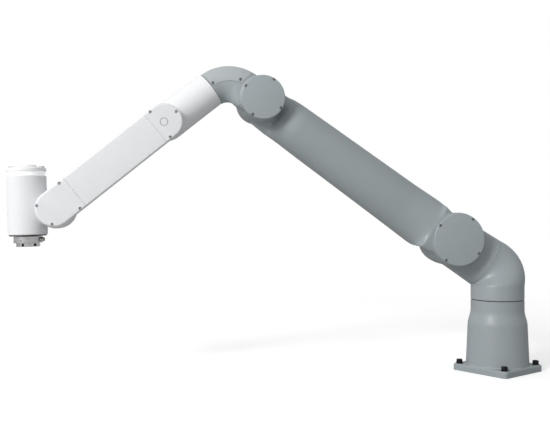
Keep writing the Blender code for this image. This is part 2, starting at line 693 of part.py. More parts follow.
lathe("j4_gear_unit", j4, [(14.5, 98.0), (42.0, 98.0), (42.0, 150.0), (36.0, 154.0), (36.0, 192.0), (14.5, 192.0)], 20, "X", (0, 0, 0), look="alu", closed=True)
lathe("j5_gear_unit", j4, [(12.0, 64.0), (31.5, 64.0), (31.5, 72.0), (28.0, 77.5), (12.0, 77.5)], 20, "Y", (FOREARM, 0, 0), look="alu", closed=True)

# ---------------------------------------------------------------- wrist (joint 5)
lathe("j5_output_hub", j5, [(7.0, 42.0), (29.0, 42.0), (31.0, 55.6), (31.0, 62.5), (11.2, 63.3), (11.2, 76.5), (7.0, 76.5)], 20, "Y", look="steel", closed=True)
wrist = lathe("wrist_housing", j5, rod(WRIST_R, WRIST_BOTTOM, WRIST_TOP, 1.5, 0.8), 32, "Z", (WRIST_OFFSET, 0, 0), look="white")
join(wrist, lathe("wrist_drum", j5, [(30.0, -50.5), (44.0, -44.5), (51.2, -30.0), (53.4, -10.0), (53.4, 34.0), (51.4, 48.0), (47.5, 55.2)], 28, "Y", cutter=True))
cut(
    wrist,
    lathe("wrist_lower_bore", j5, rod(46.0, -90.0, 30.0), 22, "Z", (WRIST_OFFSET, 0, 0), cutter=True),
    lathe("wrist_upper_bore", j5, rod(42.0, 20.0, 120.0), 22, "Z", (WRIST_OFFSET, 0, 0), cutter=True),
    lathe("wrist_hub_bore", j5, rod(31.3, -10.0, 60.0), 20, "Y", cutter=True),
)
lathe("wrist_light_ring", j5, tube(49.7, 43.5, WRIST_TOP + GAP, 103.6), 32, "Z", (WRIST_OFFSET, 0, 0), look="lens", closed=True)
cap = lathe(
    "wrist_cap",
    j5,
    [(0, 84.0), (41.2, 84.0), (41.2, 104.0), (51.8, 104.0), (52.5, 104.8), (52.5, 111.6), (50.4, 113.9), (43.0, 115.6), (30.0, 117.4), (26.5, 121.2), (0, 121.6)],
    32,
    "Z",
    (WRIST_OFFSET, 0, 0),
    look="white",
)
for name, side in (("guide_button", -1.0), ("program_button", 1.0)):
    x = WRIST_OFFSET + side * 40.0
    cut(cap, lathe(name + "_well", j5, rod(8.4, 109.0, 140.0), 16, "Z", (x, 0, 0), cutter=True))
    lathe(name, j5, [(0, 111.2), (7.9, 111.2), (7.9, 117.8), (7.2, 118.6), (0, 119.0)], 16, "Z", (x, 0, 0), look="button")
lathe("j6_gear_unit", j5, [(10.5, -66.0), (45.0, -66.0), (45.0, 0.0), (38.0, 6.0), (38.0, 60.0), (10.5, 60.0)], 20, "Z", (WRIST_OFFSET, 0, 0), look="alu", closed=True)
lathe("wrist_seal", j5, tube(49.5, 42.0, -71.8, WRIST_BOTTOM - GAP), 32, "Z", (WRIST_OFFSET, 0, 0), look="rubber", closed=True)

# ---------------------------------------------------------------- tool flange (joint 6)
STUB_R = 31.5
flange = lathe(
    "tool_flange",
    j6,
    [(9.6, -73.0), (37.7, -73.0), (38.5, -73.8), (38.5, -89.6), (37.5, -90.6), (STUB_R, -90.6), (STUB_R, -100.4), (STUB_R - 0.6, -101.0), (15.8, -101.0), (15.8, -94.5), (6.5, -94.5), (6.5, 50.0), (9.6, 50.0)],
    28,
    "Z",
    look="steel",
    closed=True,
)
for i in range(6):
    a = math.radians(60.0 * i + 12.0)
    c, s = math.cos(a), math.sin(a)
    slot = [(28.6, -2.8), (40.0, -2.8), (40.0, 2.8), (28.6, 2.8)]
    ring = [(x * c - y * s, x * s + y * c) for x, y in slot]
    cut(flange, skin(f"flange_slot_{i + 1}", j6, [[(x, y, -110.0) for x, y in ring], [(x, y, -91.0) for x, y in ring]], cutter=True))
for i in range(4):
    a = math.radians(90.0 * i + 45.0)
    cut(flange, lathe(f"flange_hole_{i + 1}", j6, rod(2.5, -120.0, -92.5), 8, "Z", (25.0 * math.cos(a), 25.0 * math.sin(a), 0), cutter=True))
cut(flange, lathe("flange_side_hole", j6, rod(3.2, 30.0, 60.0), 10, "Y", (14.0, 0, -81.5), cutter=True))
side = empty("connector_frame", j6, (0, 0, 0), "Z", 158.0)
plug = lathe("tool_connector", side, [(6.0, 38.9), (6.0, 47.0), (5.2, 48.0), (3.6, 48.0), (3.6, 45.0), (0.0, 45.0)], 12, "X", (0, 0, -81.5), look="steel")
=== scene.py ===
"""Looks for the six-axis collaborative robot arm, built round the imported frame.

Lengths in the shape helpers are millimetres in a joint's own frame; every finished piece is in metres in the row frame.
"""

import math

import bmesh
import bpy
import numpy as np
from mathutils import Matrix, Vector


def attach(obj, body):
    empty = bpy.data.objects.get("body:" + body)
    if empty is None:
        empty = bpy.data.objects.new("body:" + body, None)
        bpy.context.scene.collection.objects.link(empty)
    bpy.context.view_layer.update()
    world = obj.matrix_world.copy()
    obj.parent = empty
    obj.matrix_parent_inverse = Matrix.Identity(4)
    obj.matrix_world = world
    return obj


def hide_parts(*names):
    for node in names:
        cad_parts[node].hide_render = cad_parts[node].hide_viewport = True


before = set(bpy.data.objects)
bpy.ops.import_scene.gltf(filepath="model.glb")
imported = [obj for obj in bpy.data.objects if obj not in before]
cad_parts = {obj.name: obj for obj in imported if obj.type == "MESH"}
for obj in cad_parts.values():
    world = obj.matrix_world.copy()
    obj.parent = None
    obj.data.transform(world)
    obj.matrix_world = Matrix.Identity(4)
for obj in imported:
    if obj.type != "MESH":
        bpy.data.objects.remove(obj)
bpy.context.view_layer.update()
MM = 0.001


# ---------------------------------------------------------------- joints' frames, as in the CAD (mm)
def turn(axis, degrees):
    return Matrix.Rotation(math.radians(degrees), 4, axis)


def shift(x, y, z):
    return Matrix.Translation((x, y, z))


J2_HEIGHT, J2_FORWARD, LOWER_ARM, ELBOW_OFFSET, FOREARM, WRIST_OFFSET = 400.0, 150.0, 707.0, 110.0, 637.0, 80.0
BASE_YAW, LOWER_ARM_TILT, FOREARM_TILT, TOOL_TILT = -29.36, 34.67, -38.9, 1.46
J0 = Matrix.Identity(4)
J1 = turn("Z", BASE_YAW)
SH = J1 @ shift(J2_FORWARD, 0, J2_HEIGHT) @ turn("Y", -LOWER_ARM_TILT)
J2 = SH.copy()
J3 = J2 @ shift(LOWER_ARM, 0, 0) @ turn("Y", LOWER_ARM_TILT - FOREARM_TILT)
J4 = J3 @ shift(0, 0, ELBOW_OFFSET)
J5 = J4 @ shift(FOREARM, 0, 0) @ turn("Y", FOREARM_TILT + TOOL_TILT)
J6 = J5 @ shift(WRIST_OFFSET, 0, 0)

PLATE, PLATE_THICK, PLATE_CORNER, BOLT_SPACING = 191.0, 20.0, 11.0, 160.0
COLUMN_FOOT_R, COLUMN_MID_R, COLUMN_TOP_R, COLUMN_TOP, SHOULDER_BOTTOM = 93.2, 88.0, 79.0, 215.4, 217.6
PIPE_R, SEAM_2, J2_PLANE, J2_HUB_R, J2_FACE = 79.0, 134.0, 20.0, 79.5, 69.0
J3_PLANE, J3_DRUM_R, J3_FACE, NECK_R, J4_SEAM = 9.5, 63.0, 70.5, 50.0, 93.3
NECK_X, NECK_Z, COVER_END = 97.0, 26.0, 90.3
SIDE_FRONT, SIDE_SPLIT, SIDE_BACK, SIDE_HALF = 83.5, 68.5, 56.0, 49.0
COVER_A_FROM, COVER_A_TO, COVER_B_FROM = 260.0, 292.0, 567.4
WRIST_R, WRIST_BOTTOM, WRIST_TOP = 52.6, -68.6, 91.0


# ---------------------------------------------------------------- mesh helpers
def make(name, at, verts, faces):
    """A closed mesh object from points in the frame at, in mm."""
    mesh = bpy.data.meshes.new(name)
    bm = bmesh.new()
    made = [bm.verts.new((at @ Vector(v)) * MM) for v in verts]
    for face in faces:
        bm.faces.new([made[i] for i in face])
    bmesh.ops.recalc_face_normals(bm, faces=bm.faces[:])
    bm.to_mesh(mesh)
    bm.free()
    obj = bpy.data.objects.new(name, mesh)
    bpy.context.scene.collection.objects.link(obj)
    return obj


def freeze(obj):
    """Turns an object's modifiers into its mesh."""
    graph = bpy.context.evaluated_depsgraph_get()
    mesh = bpy.data.meshes.new_from_object(obj.evaluated_get(graph))
    old = obj.data
    obj.modifiers.clear()
    obj.data = mesh
    bpy.data.meshes.remove(old)
    return obj


def boolean(obj, others, operation):
    for other in others:
        mod = obj.modifiers.new("b", "BOOLEAN")
        mod.operation = operation
        mod.object = other
        mod.solver = "MANIFOLD"
    freeze(obj)
    for other in others:
        mesh = other.data
        bpy.data.objects.remove(other, do_unlink=True)
        bpy.data.meshes.remove(mesh)
    return obj


def cut(obj, *others):
    return boolean(obj, others, "DIFFERENCE")


def join(obj, *others):
    return boolean(obj, others, "UNION")


def common(obj, *others):
    return boolean(obj, others, "INTERSECT")


def soften(obj, voxel, rounds):
    """Blends the seams of a joined shape into cast fillets."""
    mod = obj.modifiers.new("r", "REMESH")
    mod.mode = "VOXEL"
    mod.voxel_size = voxel * MM
    mod.adaptivity = 0.0
    mod = obj.modifiers.new("s", "SMOOTH")
    mod.factor = 0.5
    mod.iterations = rounds
    return freeze(obj)


AXES = {"Z": lambda a, b, h: (a, b, h), "Y": lambda a, b, h: (a, h, b), "X": lambda a, b, h: (h, a, b)}


def lathe(name, at, profile, segs=96, axis="Z", centre=(0, 0, 0), closed=False, phase=0.0):
    """A turned shape.  profile is (radius, height) from one end to the other; closed makes a ring."""
    verts, faces, rows = [], [], []
    put = AXES[axis]
    for r, h in profile:
        if r < 1e-6:
            rows.append([len(verts)])
            p = put(0, 0, h)
            verts.append((p[0] + centre[0], p[1] + centre[1], p[2] + centre[2]))
            continue
        row = []
        for k in range(segs):
            t = 2 * math.pi * (k + phase) / segs
            p = put(r * math.cos(t), r * math.sin(t), h)
            row.append(len(verts))
            verts.append((p[0] + centre[0], p[1] + centre[1], p[2] + centre[2]))
        rows.append(row)
    pairs = list(zip(rows, rows[1:]))
    if closed:
        pairs.append((rows[-1], rows[0]))
    for a, b in pairs:
        for k in range(segs):
            n = (k + 1) % segs
            if len(a) == 1 and len(b) > 1:
                faces.append((a[0], b[k], b[n]))
            elif len(b) == 1 and len(a) > 1:
                faces.append((a[k], a[n], b[0]))
            elif len(a) > 1 and len(b) > 1:
                faces.append((a[k], a[n], b[n], b[k]))
    if not closed:
        for row in (rows[0], rows[-1]):
            if len(row) > 1:
                faces.append(tuple(row))
    return make(name, at, verts, faces)


def rod(r, h0, h1):
    return [(r, h0), (r, h1)]


def fillet(r, h, size, steps=5, up=True, inner=False):
    """Profile points of a rounded outer edge at radius r and height h.  up: the edge ends a shape at its top."""
    out = []
    for k in range(steps + 1):
        a = math.pi / 2 * k / steps
        out.append((r - size + size * math.cos(a), (h - size + size * math.sin(a)) if up else (h + size - size * math.sin(a))))
    return out if up else out[::-1]


def turned_block(r, h0, h1, low=0.0, high=0.0, steps=5):
    """Profile of a solid cylinder with rounded edges of radius low and high."""
    out = fillet(r, h0, low, steps, up=False) if low else [(r, h0)]
    out += fillet(r, h1, high, steps, up=True) if high else [(r, h1)]
    return out


def section(count, half_width, y0, y1, power, offset=0.0):
    pts = []
    for k in range(count):
        t = 2 * math.pi * (k + 0.5) / count
        c, s = math.cos(t), math.sin(t)
        lat = math.copysign(abs(c) ** (2.0 / power), c) * half_width + offset
        y = math.copysign(abs(s) ** (2.0 / power), s) * (y1 - y0) / 2 + (y0 + y1) / 2
        pts.append((lat, y))
    return pts


def skin(name, at, rings):
    count = len(rings[0])
    verts = [p for ring in rings for p in ring]
    faces = []
    for a in range(len(rings) - 1):
        for k in range(count):
            n = (k + 1) % count
            faces.append((a * count + k, a * count + n, (a + 1) * count + n, (a + 1) * count + k))
    faces.append(tuple(range(count)))
    faces.append(tuple((len(rings) - 1) * count + k for k in range(count)))
    return make(name, at, verts, faces)


def smooth_rows(rows, step):
    """Rows interpolated by a monotone cubic in their first column, about every step."""
    table = np.array(rows, float)
    x = table[:, 0]
    h = np.diff(x)
    out_x = [x[0]]
    for a, b in zip(x, x[1:]):
        n = max(1, int(round((b - a) / step)))
        out_x += [a + (b - a) * (i + 1) / n for i in range(n)]
    out = np.zeros((len(out_x), table.shape[1]))
    out[:, 0] = out_x
    for c in range(1, table.shape[1]):
        y = table[:, c]
        d = np.diff(y) / h
        m = np.zeros(len(y))
        for i in range(1, len(y) - 1):
            if d[i - 1] * d[i] > 0:
                w1, w2 = 2 * h[i] + h[i - 1], h[i] + 2 * h[i - 1]
                m[i] = (w1 + w2) / (w1 / d[i - 1] + w2 / d[i])
        m[0], m[-1] = d[0], d[-1]
        for j, v in enumerate(out_x):
            i = min(max(int(np.searchsorted(x, v) - 1), 0), len(h) - 1)
            t = (v - x[i]) / h[i]
            out[j, c] = (
                (2 * t**3 - 3 * t**2 + 1) * y[i]
                + (t**3 - 2 * t**2 + t) * h[i] * m[i]
                + (-2 * t**3 + 3 * t**2) * y[i + 1]
                + (t**3 - t**2) * h[i] * m[i + 1]
            )
    return [tuple(float(v) for v in row) for row in out]


def straight(rows, count, step=0.0):
    if step:
        rows = smooth_rows(rows, step)
    return [[(x, y, lat) for lat, y in section(count, hw, y0, y1, power, off)] for x, hw, y0, y1, power, off in rows]


def stadium(x0, r0, x1, r1, z0=0.0, z1=0.0, steps=24, flat0=False, flat1=False):
    pts = []
    if flat1:
        pts += [(x1, z1 - r1), (x1, z1 + r1)]
    else:
        pts += [(x1 + r1 * math.cos(t), z1 + r1 * math.sin(t)) for t in [-math.pi / 2 + math.pi * k / steps for k in range(steps + 1)]]
    if flat0:
        pts += [(x0, z0 + r0), (x0, z0 - r0)]
    else:
        pts += [(x0 + r0 * math.cos(t), z0 + r0 * math.sin(t)) for t in [math.pi / 2 + math.pi * k / steps for k in range(steps + 1)]]
    return pts


def slab(name, at, outlines):
    return skin(name, at, [[(x, y, z) for x, z in outline] for outline, y in outlines])


def block(name, at, low, high):
    x0, y0, z0 = low
    x1, y1, z1 = high
    ring = lambda z: [(x0, y0, z), (x1, y0, z), (x1, y1, z), (x0, y1, z)]
    return skin(name, at, [ring(z0), ring(z1)])


def hexagon(name, at, r, h0, h1, axis="Z", centre=(0, 0, 0), phase=0.0):
    return lathe(name, at, [(r, h0), (r, h1)], 6, axis, centre, phase=phase)


# ---------------------------------------------------------------- materials
def node(tree, kind, **values):
    n = tree.nodes.new(kind)
    for key, value in values.items():
        if key in n.inputs:
            n.inputs[key].default_value = value
        else:
            setattr(n, key, value)
    return n


def ramp(tree, source, low, high, c0, c1):
    r = node(tree, "ShaderNodeMapRange")
    r.inputs["From Min"].default_value = low
    r.inputs["From Max"].default_value = high
    r.inputs["To Min"].default_value = c0
    r.inputs["To Max"].default_value = c1
    tree.links.new(source, r.inputs["Value"])
    return r.outputs["Result"]


def base_material(name):
    mat = bpy.data.materials.new(name)
    mat.use_nodes = True
    tree = mat.node_tree
    shader = tree.nodes["Principled BSDF"]
    coords = node(tree, "ShaderNodeTexCoord").outputs["Object"]
    return mat, tree, shader, coords


def noise(tree, coords, scale, detail=3.0, rough=0.5):
    n = node(tree, "ShaderNodeTexNoise", Scale=scale, Detail=detail, Roughness=rough)
    tree.links.new(coords, n.inputs["Vector"])
    return n.outputs["Fac"]


def mixed(tree, factor, a, b):
    m = node(tree, "ShaderNodeMix", data_type="RGBA")
    tree.links.new(factor, m.inputs[0])
    for socket, value in ((m.inputs[6], a), (m.inputs[7], b)):
        if isinstance(value, tuple):
            socket.default_value = value
        else:
            tree.links.new(value, socket)
    return m.outputs[2]


def shade(color, k):
    return tuple(min(1.0, c * k) for c in color[:3]) + (1.0,)


def paint(name, color, rough=0.42, peel=0.05, vary=0.04, wear=0.12, coat=0.0, grain=0.0, shine=0.5):
    """Sprayed or powder paint: fine orange peel, faint mottling, slightly rubbed edges."""
    mat, tree, shader, coords = base_material(name)
    cloud = noise(tree, coords, 9.0, 4.0)
    speck = noise(tree, coords, 1400.0, 2.0)
    body = mixed(tree, ramp(tree, cloud, 0.3, 0.7, 0.0, 1.0), shade(color, 1 - vary), shade(color, 1 + vary))
    body = mixed(tree, ramp(tree, speck, 0.35, 0.75, 0.0, 0.5 + grain), body, shade(color, 1.10))
    rub = noise(tree, coords, 160.0, 5.0, 0.65)
    edge = node(tree, "ShaderNodeNewGeometry").outputs["Pointiness"]
    edge = ramp(tree, edge, 0.53, 0.60, 0.0, 1.0)
    product = node(tree, "ShaderNodeMath", operation="MULTIPLY")
    tree.links.new(edge, product.inputs[0])
    tree.links.new(ramp(tree, rub, 0.42, 0.62, 0.0, wear * 3.0), product.inputs[1])
    body = mixed(tree, product.outputs[0], body, shade(color, 1.5))
    tree.links.new(body, shader.inputs["Base Color"])
    smear = noise(tree, coords, 34.0, 5.0, 0.6)
    tree.links.new(ramp(tree, smear, 0.3, 0.7, rough - 0.06, rough + 0.07), shader.inputs["Roughness"])
    peel_a = noise(tree, coords, 620.0, 2.0)
    bump = node(tree, "ShaderNodeBump", Strength=peel, Distance=0.0004)
    tree.links.new(peel_a, bump.inputs["Height"])
    tree.links.new(bump.outputs["Normal"], shader.inputs["Normal"])
    shader.inputs["Specular IOR Level"].default_value = shine
    shader.inputs["Coat Weight"].default_value = coat
    shader.inputs["Coat Roughness"].default_value = 0.25
    return mat


def plastic(name, color, rough=0.5, texture=1800.0, strength=0.12, vary=0.05, through=0.0):
    """Moulded plastic with a spark-eroded grain."""
    mat, tree, shader, coords = base_material(name)
    cloud = noise(tree, coords, 25.0, 4.0)
    body = mixed(tree, ramp(tree, cloud, 0.3, 0.7, 0.0, 1.0), shade(color, 1 - vary), shade(color, 1 + vary))
    tree.links.new(body, shader.inputs["Base Color"])
    smear = noise(tree, coords, 70.0, 4.0, 0.6)
    tree.links.new(ramp(tree, smear, 0.3, 0.7, rough - 0.08, rough + 0.08), shader.inputs["Roughness"])
    grain = noise(tree, coords, texture, 2.0)
    bump = node(tree, "ShaderNodeBump", Strength=strength, Distance=0.0002)
    tree.links.new(grain, bump.inputs["Height"])
    tree.links.new(bump.outputs["Normal"], shader.inputs["Normal"])
    if through:
        shader.inputs["Subsurface Weight"].default_value = through
        shader.inputs["Subsurface Radius"].default_value = (0.004, 0.004, 0.004)
        shader.inputs["Subsurface Scale"].default_value = 1.0
    return mat


def metal(name, color, rough, axis_frame=None, ring_scale=2600.0, strength=0.25, vary=0.08):
    """Machined metal: fine lines round the turning axis, or a fine random grain where there is none."""
    mat, tree, shader, coords = base_material(name)
    shader.inputs["Metallic"].default_value = 1.0
    if axis_frame is not None:
        inverse = axis_frame.inverted()
        loc, rot, _ = inverse.decompose()
        mapping = node(tree, "ShaderNodeMapping", vector_type="POINT")
        mapping.inputs["Location"].default_value = loc * MM
        mapping.inputs["Rotation"].default_value = rot.to_euler()
        tree.links.new(coords, mapping.inputs["Vector"])
        parts = node(tree, "ShaderNodeSeparateXYZ")
        tree.links.new(mapping.outputs["Vector"], parts.inputs[0])
        flat = node(tree, "ShaderNodeCombineXYZ")
        tree.links.new(parts.outputs["X"], flat.inputs["X"])
        tree.links.new(parts.outputs["Y"], flat.inputs["Y"])
        length = node(tree, "ShaderNodeVectorMath", operation="LENGTH")
        tree.links.new(flat.outputs[0], length.inputs[0])
        lines = node(tree, "ShaderNodeCombineXYZ")
        tree.links.new(length.outputs["Value"], lines.inputs["X"])
        tree.links.new(parts.outputs["Z"], lines.inputs["Y"])
        height = noise(tree, lines.outputs[0], ring_scale, 2.0)
    else:
        height = noise(tree, coords, ring_scale, 3.0)
    cloud = noise(tree, coords, 90.0, 4.0)
    body = mixed(tree, ramp(tree, cloud, 0.3, 0.7, 0.0, 1.0), shade(color, 1 - vary), shade(color, 1 + vary))
    body = mixed(tree, ramp(tree, height, 0.35, 0.65, 0.0, 0.6), body, shade(color, 0.82))
    tree.links.new(body, shader.inputs["Base Color"])
    tree.links.new(ramp(tree, height, 0.3, 0.7, rough - 0.07, rough + 0.1), shader.inputs["Roughness"])
    bump = node(tree, "ShaderNodeBump", Strength=strength, Distance=0.00015)
    tree.links.new(height, bump.inputs["Height"])
    tree.links.new(bump.outputs["Normal"], shader.inputs["Normal"])
    return mat


GREY = (0.325, 0.366, 0.381)
WHITE = (0.80, 0.812, 0.828)
M_GREY = paint("paint_grey", GREY, 0.40, peel=0.10, vary=0.025)
M_GREY_COVER = paint("paint_grey_cover", shade(GREY, 1.03)[:3], 0.38, peel=0.08, vary=0.02)
# Painted highlight: the elbow top cover gets a lighter copy of the grey paint, standing for the light that falls on its
# upper face.
M_GREY_TOP_LIT = paint("paint_grey_top_cover_painted_highlight", (0.405, 0.435, 0.445), 0.36, peel=0.08, vary=0.02)
M_GREY_DISC = paint("paint_grey_disc", shade(GREY, 1.08)[:3], 0.34, peel=0.08, vary=0.02)
# Painted highlight: the wrist cap is a lighter copy of the white paint, lifting its shaded rim to look brightly lit.
M_WHITE_CAP_LIT = paint("paint_white_cap_painted_highlight", (0.93, 0.935, 0.94), 0.32, peel=0.06, vary=0.008, wear=0.02)
M_WHITE = paint("paint_white", WHITE, 0.42, peel=0.08, vary=0.012, wear=0.03, shine=0.25)
M_WHITE_COVER = paint("paint_white_cover", WHITE, 0.40, peel=0.06, vary=0.010, wear=0.03, shine=0.3)
M_FLANGE = metal("flange_metal", (0.90, 0.90, 0.91), 0.16, J6)
M_SCREW = metal("screw_metal", (0.30, 0.31, 0.32), 0.34)
M_SCREW_PALE = metal("screw_metal_pale", (0.58, 0.59, 0.60), 0.34)
M_BLACK_STEEL = metal("black_oxide", (0.035, 0.035, 0.038), 0.42, ring_scale=1500.0)
M_INNER = metal("machined_steel", (0.52, 0.52, 0.53), 0.32)
M_ALU = metal("machined_aluminium", (0.66, 0.66, 0.67), 0.36)
M_NICKEL = metal("nickel_plate", (0.62, 0.61, 0.58), 0.25)
M_BLACK = plastic("black_plastic", (0.022, 0.022, 0.024), 0.48)
M_RUBBER = plastic("seal_rubber", (0.028, 0.028, 0.03), 0.68, texture=900.0, strength=0.2)
M_RING = plastic("light_ring", (0.93, 0.94, 0.95), 0.22, texture=3000.0, strength=0.03, vary=0.01, through=0.6)
M_RING.node_tree.nodes["Principled BSDF"].inputs["Emission Color"].default_value = (1.0, 1.0, 1.0, 1.0)
M_RING.node_tree.nodes["Principled BSDF"].inputs["Emission Strength"].default_value = 0.24
M_BUTTON = plastic("button_plastic", (0.46, 0.48, 0.50), 0.36, strength=0.06)
M_MARK = plastic("mark_print", (0.20, 0.22, 0.24), 0.40, strength=0.02)
M_SOCKET = plastic("socket_dark", (0.012, 0.012, 0.014), 0.6)


def finish_piece(obj, body, mat, replaced=(), angle=34.0):
    mesh = obj.data
    mesh.materials.clear()
    mesh.materials.append(mat)
    mesh.shade_smooth()
    mesh.set_sharp_from_angle(angle=math.radians(angle))
    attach(obj, body)
    if replaced:
        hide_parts(*replaced)
    return obj


# ---------------------------------------------------------------- base
def rounded_square(half, r, steps=8):
    pts = []
    for cx, cy, start in ((1, 1, 0), (-1, 1, 90), (-1, -1, 180), (1, -1, 270)):
        for k in range(steps + 1):
            t = math.radians(start + 90 * k / steps)
            pts.append((cx * (half - r) + r * math.cos(t), cy * (half - r) + r * math.sin(t)))
    return pts


half = PLATE / 2
plate = skin(
    "plate",
    J0,
    [[(x, y, z) for x, y in rounded_square(half - i, PLATE_CORNER)] for i, z in [(0.0, -6.0), (0.0, PLATE_THICK - 4.0), (0.8, PLATE_THICK - 1.6), (3.0, PLATE_THICK)]],
)
flare = [(COLUMN_MID_R + (COLUMN_TOP_R - COLUMN_MID_R) * (0.5 - 0.5 * math.cos(math.pi * k / 16)), 138.0 + 49.0 * k / 16) for k in range(17)]
base = lathe("base_body", J0, [(COLUMN_FOOT_R - 2, 6.0), (COLUMN_FOOT_R, 22.0)] + flare + [(COLUMN_TOP_R, COLUMN_TOP + 6.0)], 128)
pad = skin("pad", J0, [[(x, y, z + 79.0) for y, z in rounded_square(34.0, 6.0)] for x in (-70.0, -95.6)])
join(base, plate, pad)
soften(base, 1.5, 6)
cut(
    base,
    block("floor_cut", J0, (-200, -200, -50), (200, 200, 0.0)),
    lathe("top_cut", J0, [(COLUMN_TOP_R - 1.3, COLUMN_TOP + 0.01), (120.0, COLUMN_TOP + 0.01), (120.0, 240.0), (COLUMN_TOP_R - 1.3, 240.0)], 128, closed=True),
    lathe("rim_cut", J0, [(COLUMN_TOP_R - 1.3, COLUMN_TOP), (COLUMN_TOP_R + 4.0, COLUMN_TOP - 5.3), (COLUMN_TOP_R + 4.0, COLUMN_TOP + 9.0), (COLUMN_TOP_R - 1.3, COLUMN_TOP + 9.0)], 128, closed=True),
    lathe("bore_cut", J0, [(68.0, 52.0), (68.0, COLUMN_TOP), (COLUMN_TOP_R - 1.0, COLUMN_TOP), (COLUMN_TOP_R - 1.0, 260.0)], 96),
    skin("seat_cut", J0, [[(x, y, z + 79.0) for y, z in rounded_square(27.0, 3.0)] for x in (-60.0, -110.0)]),
)
for sx, sy in ((1, 1), (-1, 1), (-1, -1), (1, -1)):
    at = (sx * BOLT_SPACING / 2, sy * BOLT_SPACING / 2, 0.0)
    cut(base, lathe("hole", J0, [(6.8, -5.0), (6.8, 40.0)], 40, centre=at))
finish_piece(base, "base", M_GREY, ["base_casting"])

for i, (sx, sy) in enumerate(((1, 1), (-1, 1), (-1, -1), (1, -1))):
    at = (sx * BOLT_SPACING / 2, sy * BOLT_SPACING / 2, 0.0)
    washer = lathe(f"bolt_washer_{i + 1}", J0, [(6.4, 20.05), (10.6, 20.05), (11.0, 20.3), (11.0, 21.5), (10.6, 21.9), (6.4, 21.9)], 48, centre=at, closed=True)
    finish_piece(washer, "base", M_BLACK_STEEL)
    bolt = lathe(f"cap_bolt_{i + 1}", J0, [(6.0, 1.0), (6.0, 22.0)] + [(9.0, 22.0)] + fillet(9.0, 32.4, 1.2, 4), 48, centre=at)
    cut(bolt, hexagon("hex", J0, 5.3, 25.0, 40.0, centre=at, phase=0.25))
    finish_piece(bolt, "base", M_BLACK_STEEL, [f"base_bolt_{i + 1}"])

panel = skin(
    "rear_panel",
    J0,
    [[(x, y, z + 79.0) for y, z in rounded_square(31.5 - i, 5.0)] for i, x in ((0.0, -95.4), (0.0, -97.0), (0.3, -97.6), (1.0, -98.0))],
)
CONNECTORS = (("power_connector", 13.0, 79.0, 10.5, 5), ("signal_connector", -14.0, 90.0, 8.0, 8), ("air_connector", -14.0, 66.0, 6.0, 0))
for name, y, z, r, pins in CONNECTORS:
    cut(panel, lathe("hole", J0, [(r - 1.7, -110.0), (r - 1.7, -80.0)], 40, "X", (0, y, z)))
for sy in (-1, 1):
    for sz in (-1, 1):
        at = (0, sy * 26.5, 79.0 + sz * 26.5)
        screw = lathe(f"panel_screw_{(sy + 1) + (sz + 1) // 2}", J0, [(2.6, -98.05), (2.6, -99.3), (1.9, -99.9), (0, -99.9)], 32, "X", at)
        cut(screw, hexagon("hex", J0, 1.3, -98.9, -103.0, "X", at))
        finish_piece(screw, "base", M_SCREW)
finish_piece(panel, "base", M_BLACK, ["connector_panel"])
for name, y, z, r, pins in CONNECTORS:
    body = lathe(
        name + "_shell",
        J0,
        [(r - 2.0, -82.0), (r - 2.0, -98.3), (r, -98.3), (r, -99.2), (r - 0.5, -99.5), (r, -99.9), (r - 0.5, -100.3), (r, -100.7), (r, -101.5), (r - 0.5, -102.0), (r - 2.4, -102.0), (r - 2.4, -98.9), (0.0, -98.9)],
        64,
        "X",
        (0, y, z),
    )
    finish_piece(body, "base", M_BLACK if name == "power_connector" else M_NICKEL, [name])
    for k in range(pins):
        a = 2 * math.pi * k / pins
        ring = (r - 2.4) * 0.55
        pin = lathe(f"{name}_pin_{k + 1}", J0, [(0.75, -98.95), (0.75, -101.2), (0.4, -101.6), (0, -101.6)], 16, "X", (0, y + ring * math.cos(a), z + ring * math.sin(a)))
        finish_piece(pin, "base", M_NICKEL)

# ---------------------------------------------------------------- shoulder
seal = lathe("j1_seal_ring", J1, [(70.5, COLUMN_TOP + 0.5), (77.0, COLUMN_TOP + 0.5), (77.4, COLUMN_TOP + 0.9), (77.4, SHOULDER_BOTTOM - 0.7), (77.0, SHOULDER_BOTTOM - 0.3), (70.5, SHOULDER_BOTTOM - 0.3)], 128, closed=True)
finish_piece(seal, "shoulder", M_RUBBER, ["j1_seal"])

FAN = 82.0
bend = 90.0 - LOWER_ARM_TILT
corner = J2_HEIGHT + 4.5 / math.cos(math.radians(LOWER_ARM_TILT)) - J2_FORWARD * math.tan(math.radians(LOWER_ARM_TILT))
run = FAN * math.tan(math.radians(bend / 2))
pivot = (FAN, corner - run)
SEAM_FROM_CORNER = J2_FORWARD * math.cos(math.radians(LOWER_ARM_TILT)) + (J2_HEIGHT - corner) * math.sin(math.radians(LOWER_ARM_TILT)) - SEAM_2


def pipe_ring(count, x, z, angle, inner, outer, y0, y1, power):
    a = math.radians(angle)
    out = (-math.cos(a), math.sin(a))
    mid, hw = (inner + outer) / 2, (outer - inner) / 2
    return [(x + out[0] * (mid + lat), y, z + out[1] * (mid + lat)) for lat, y in section(count, hw, y0, y1, power)]


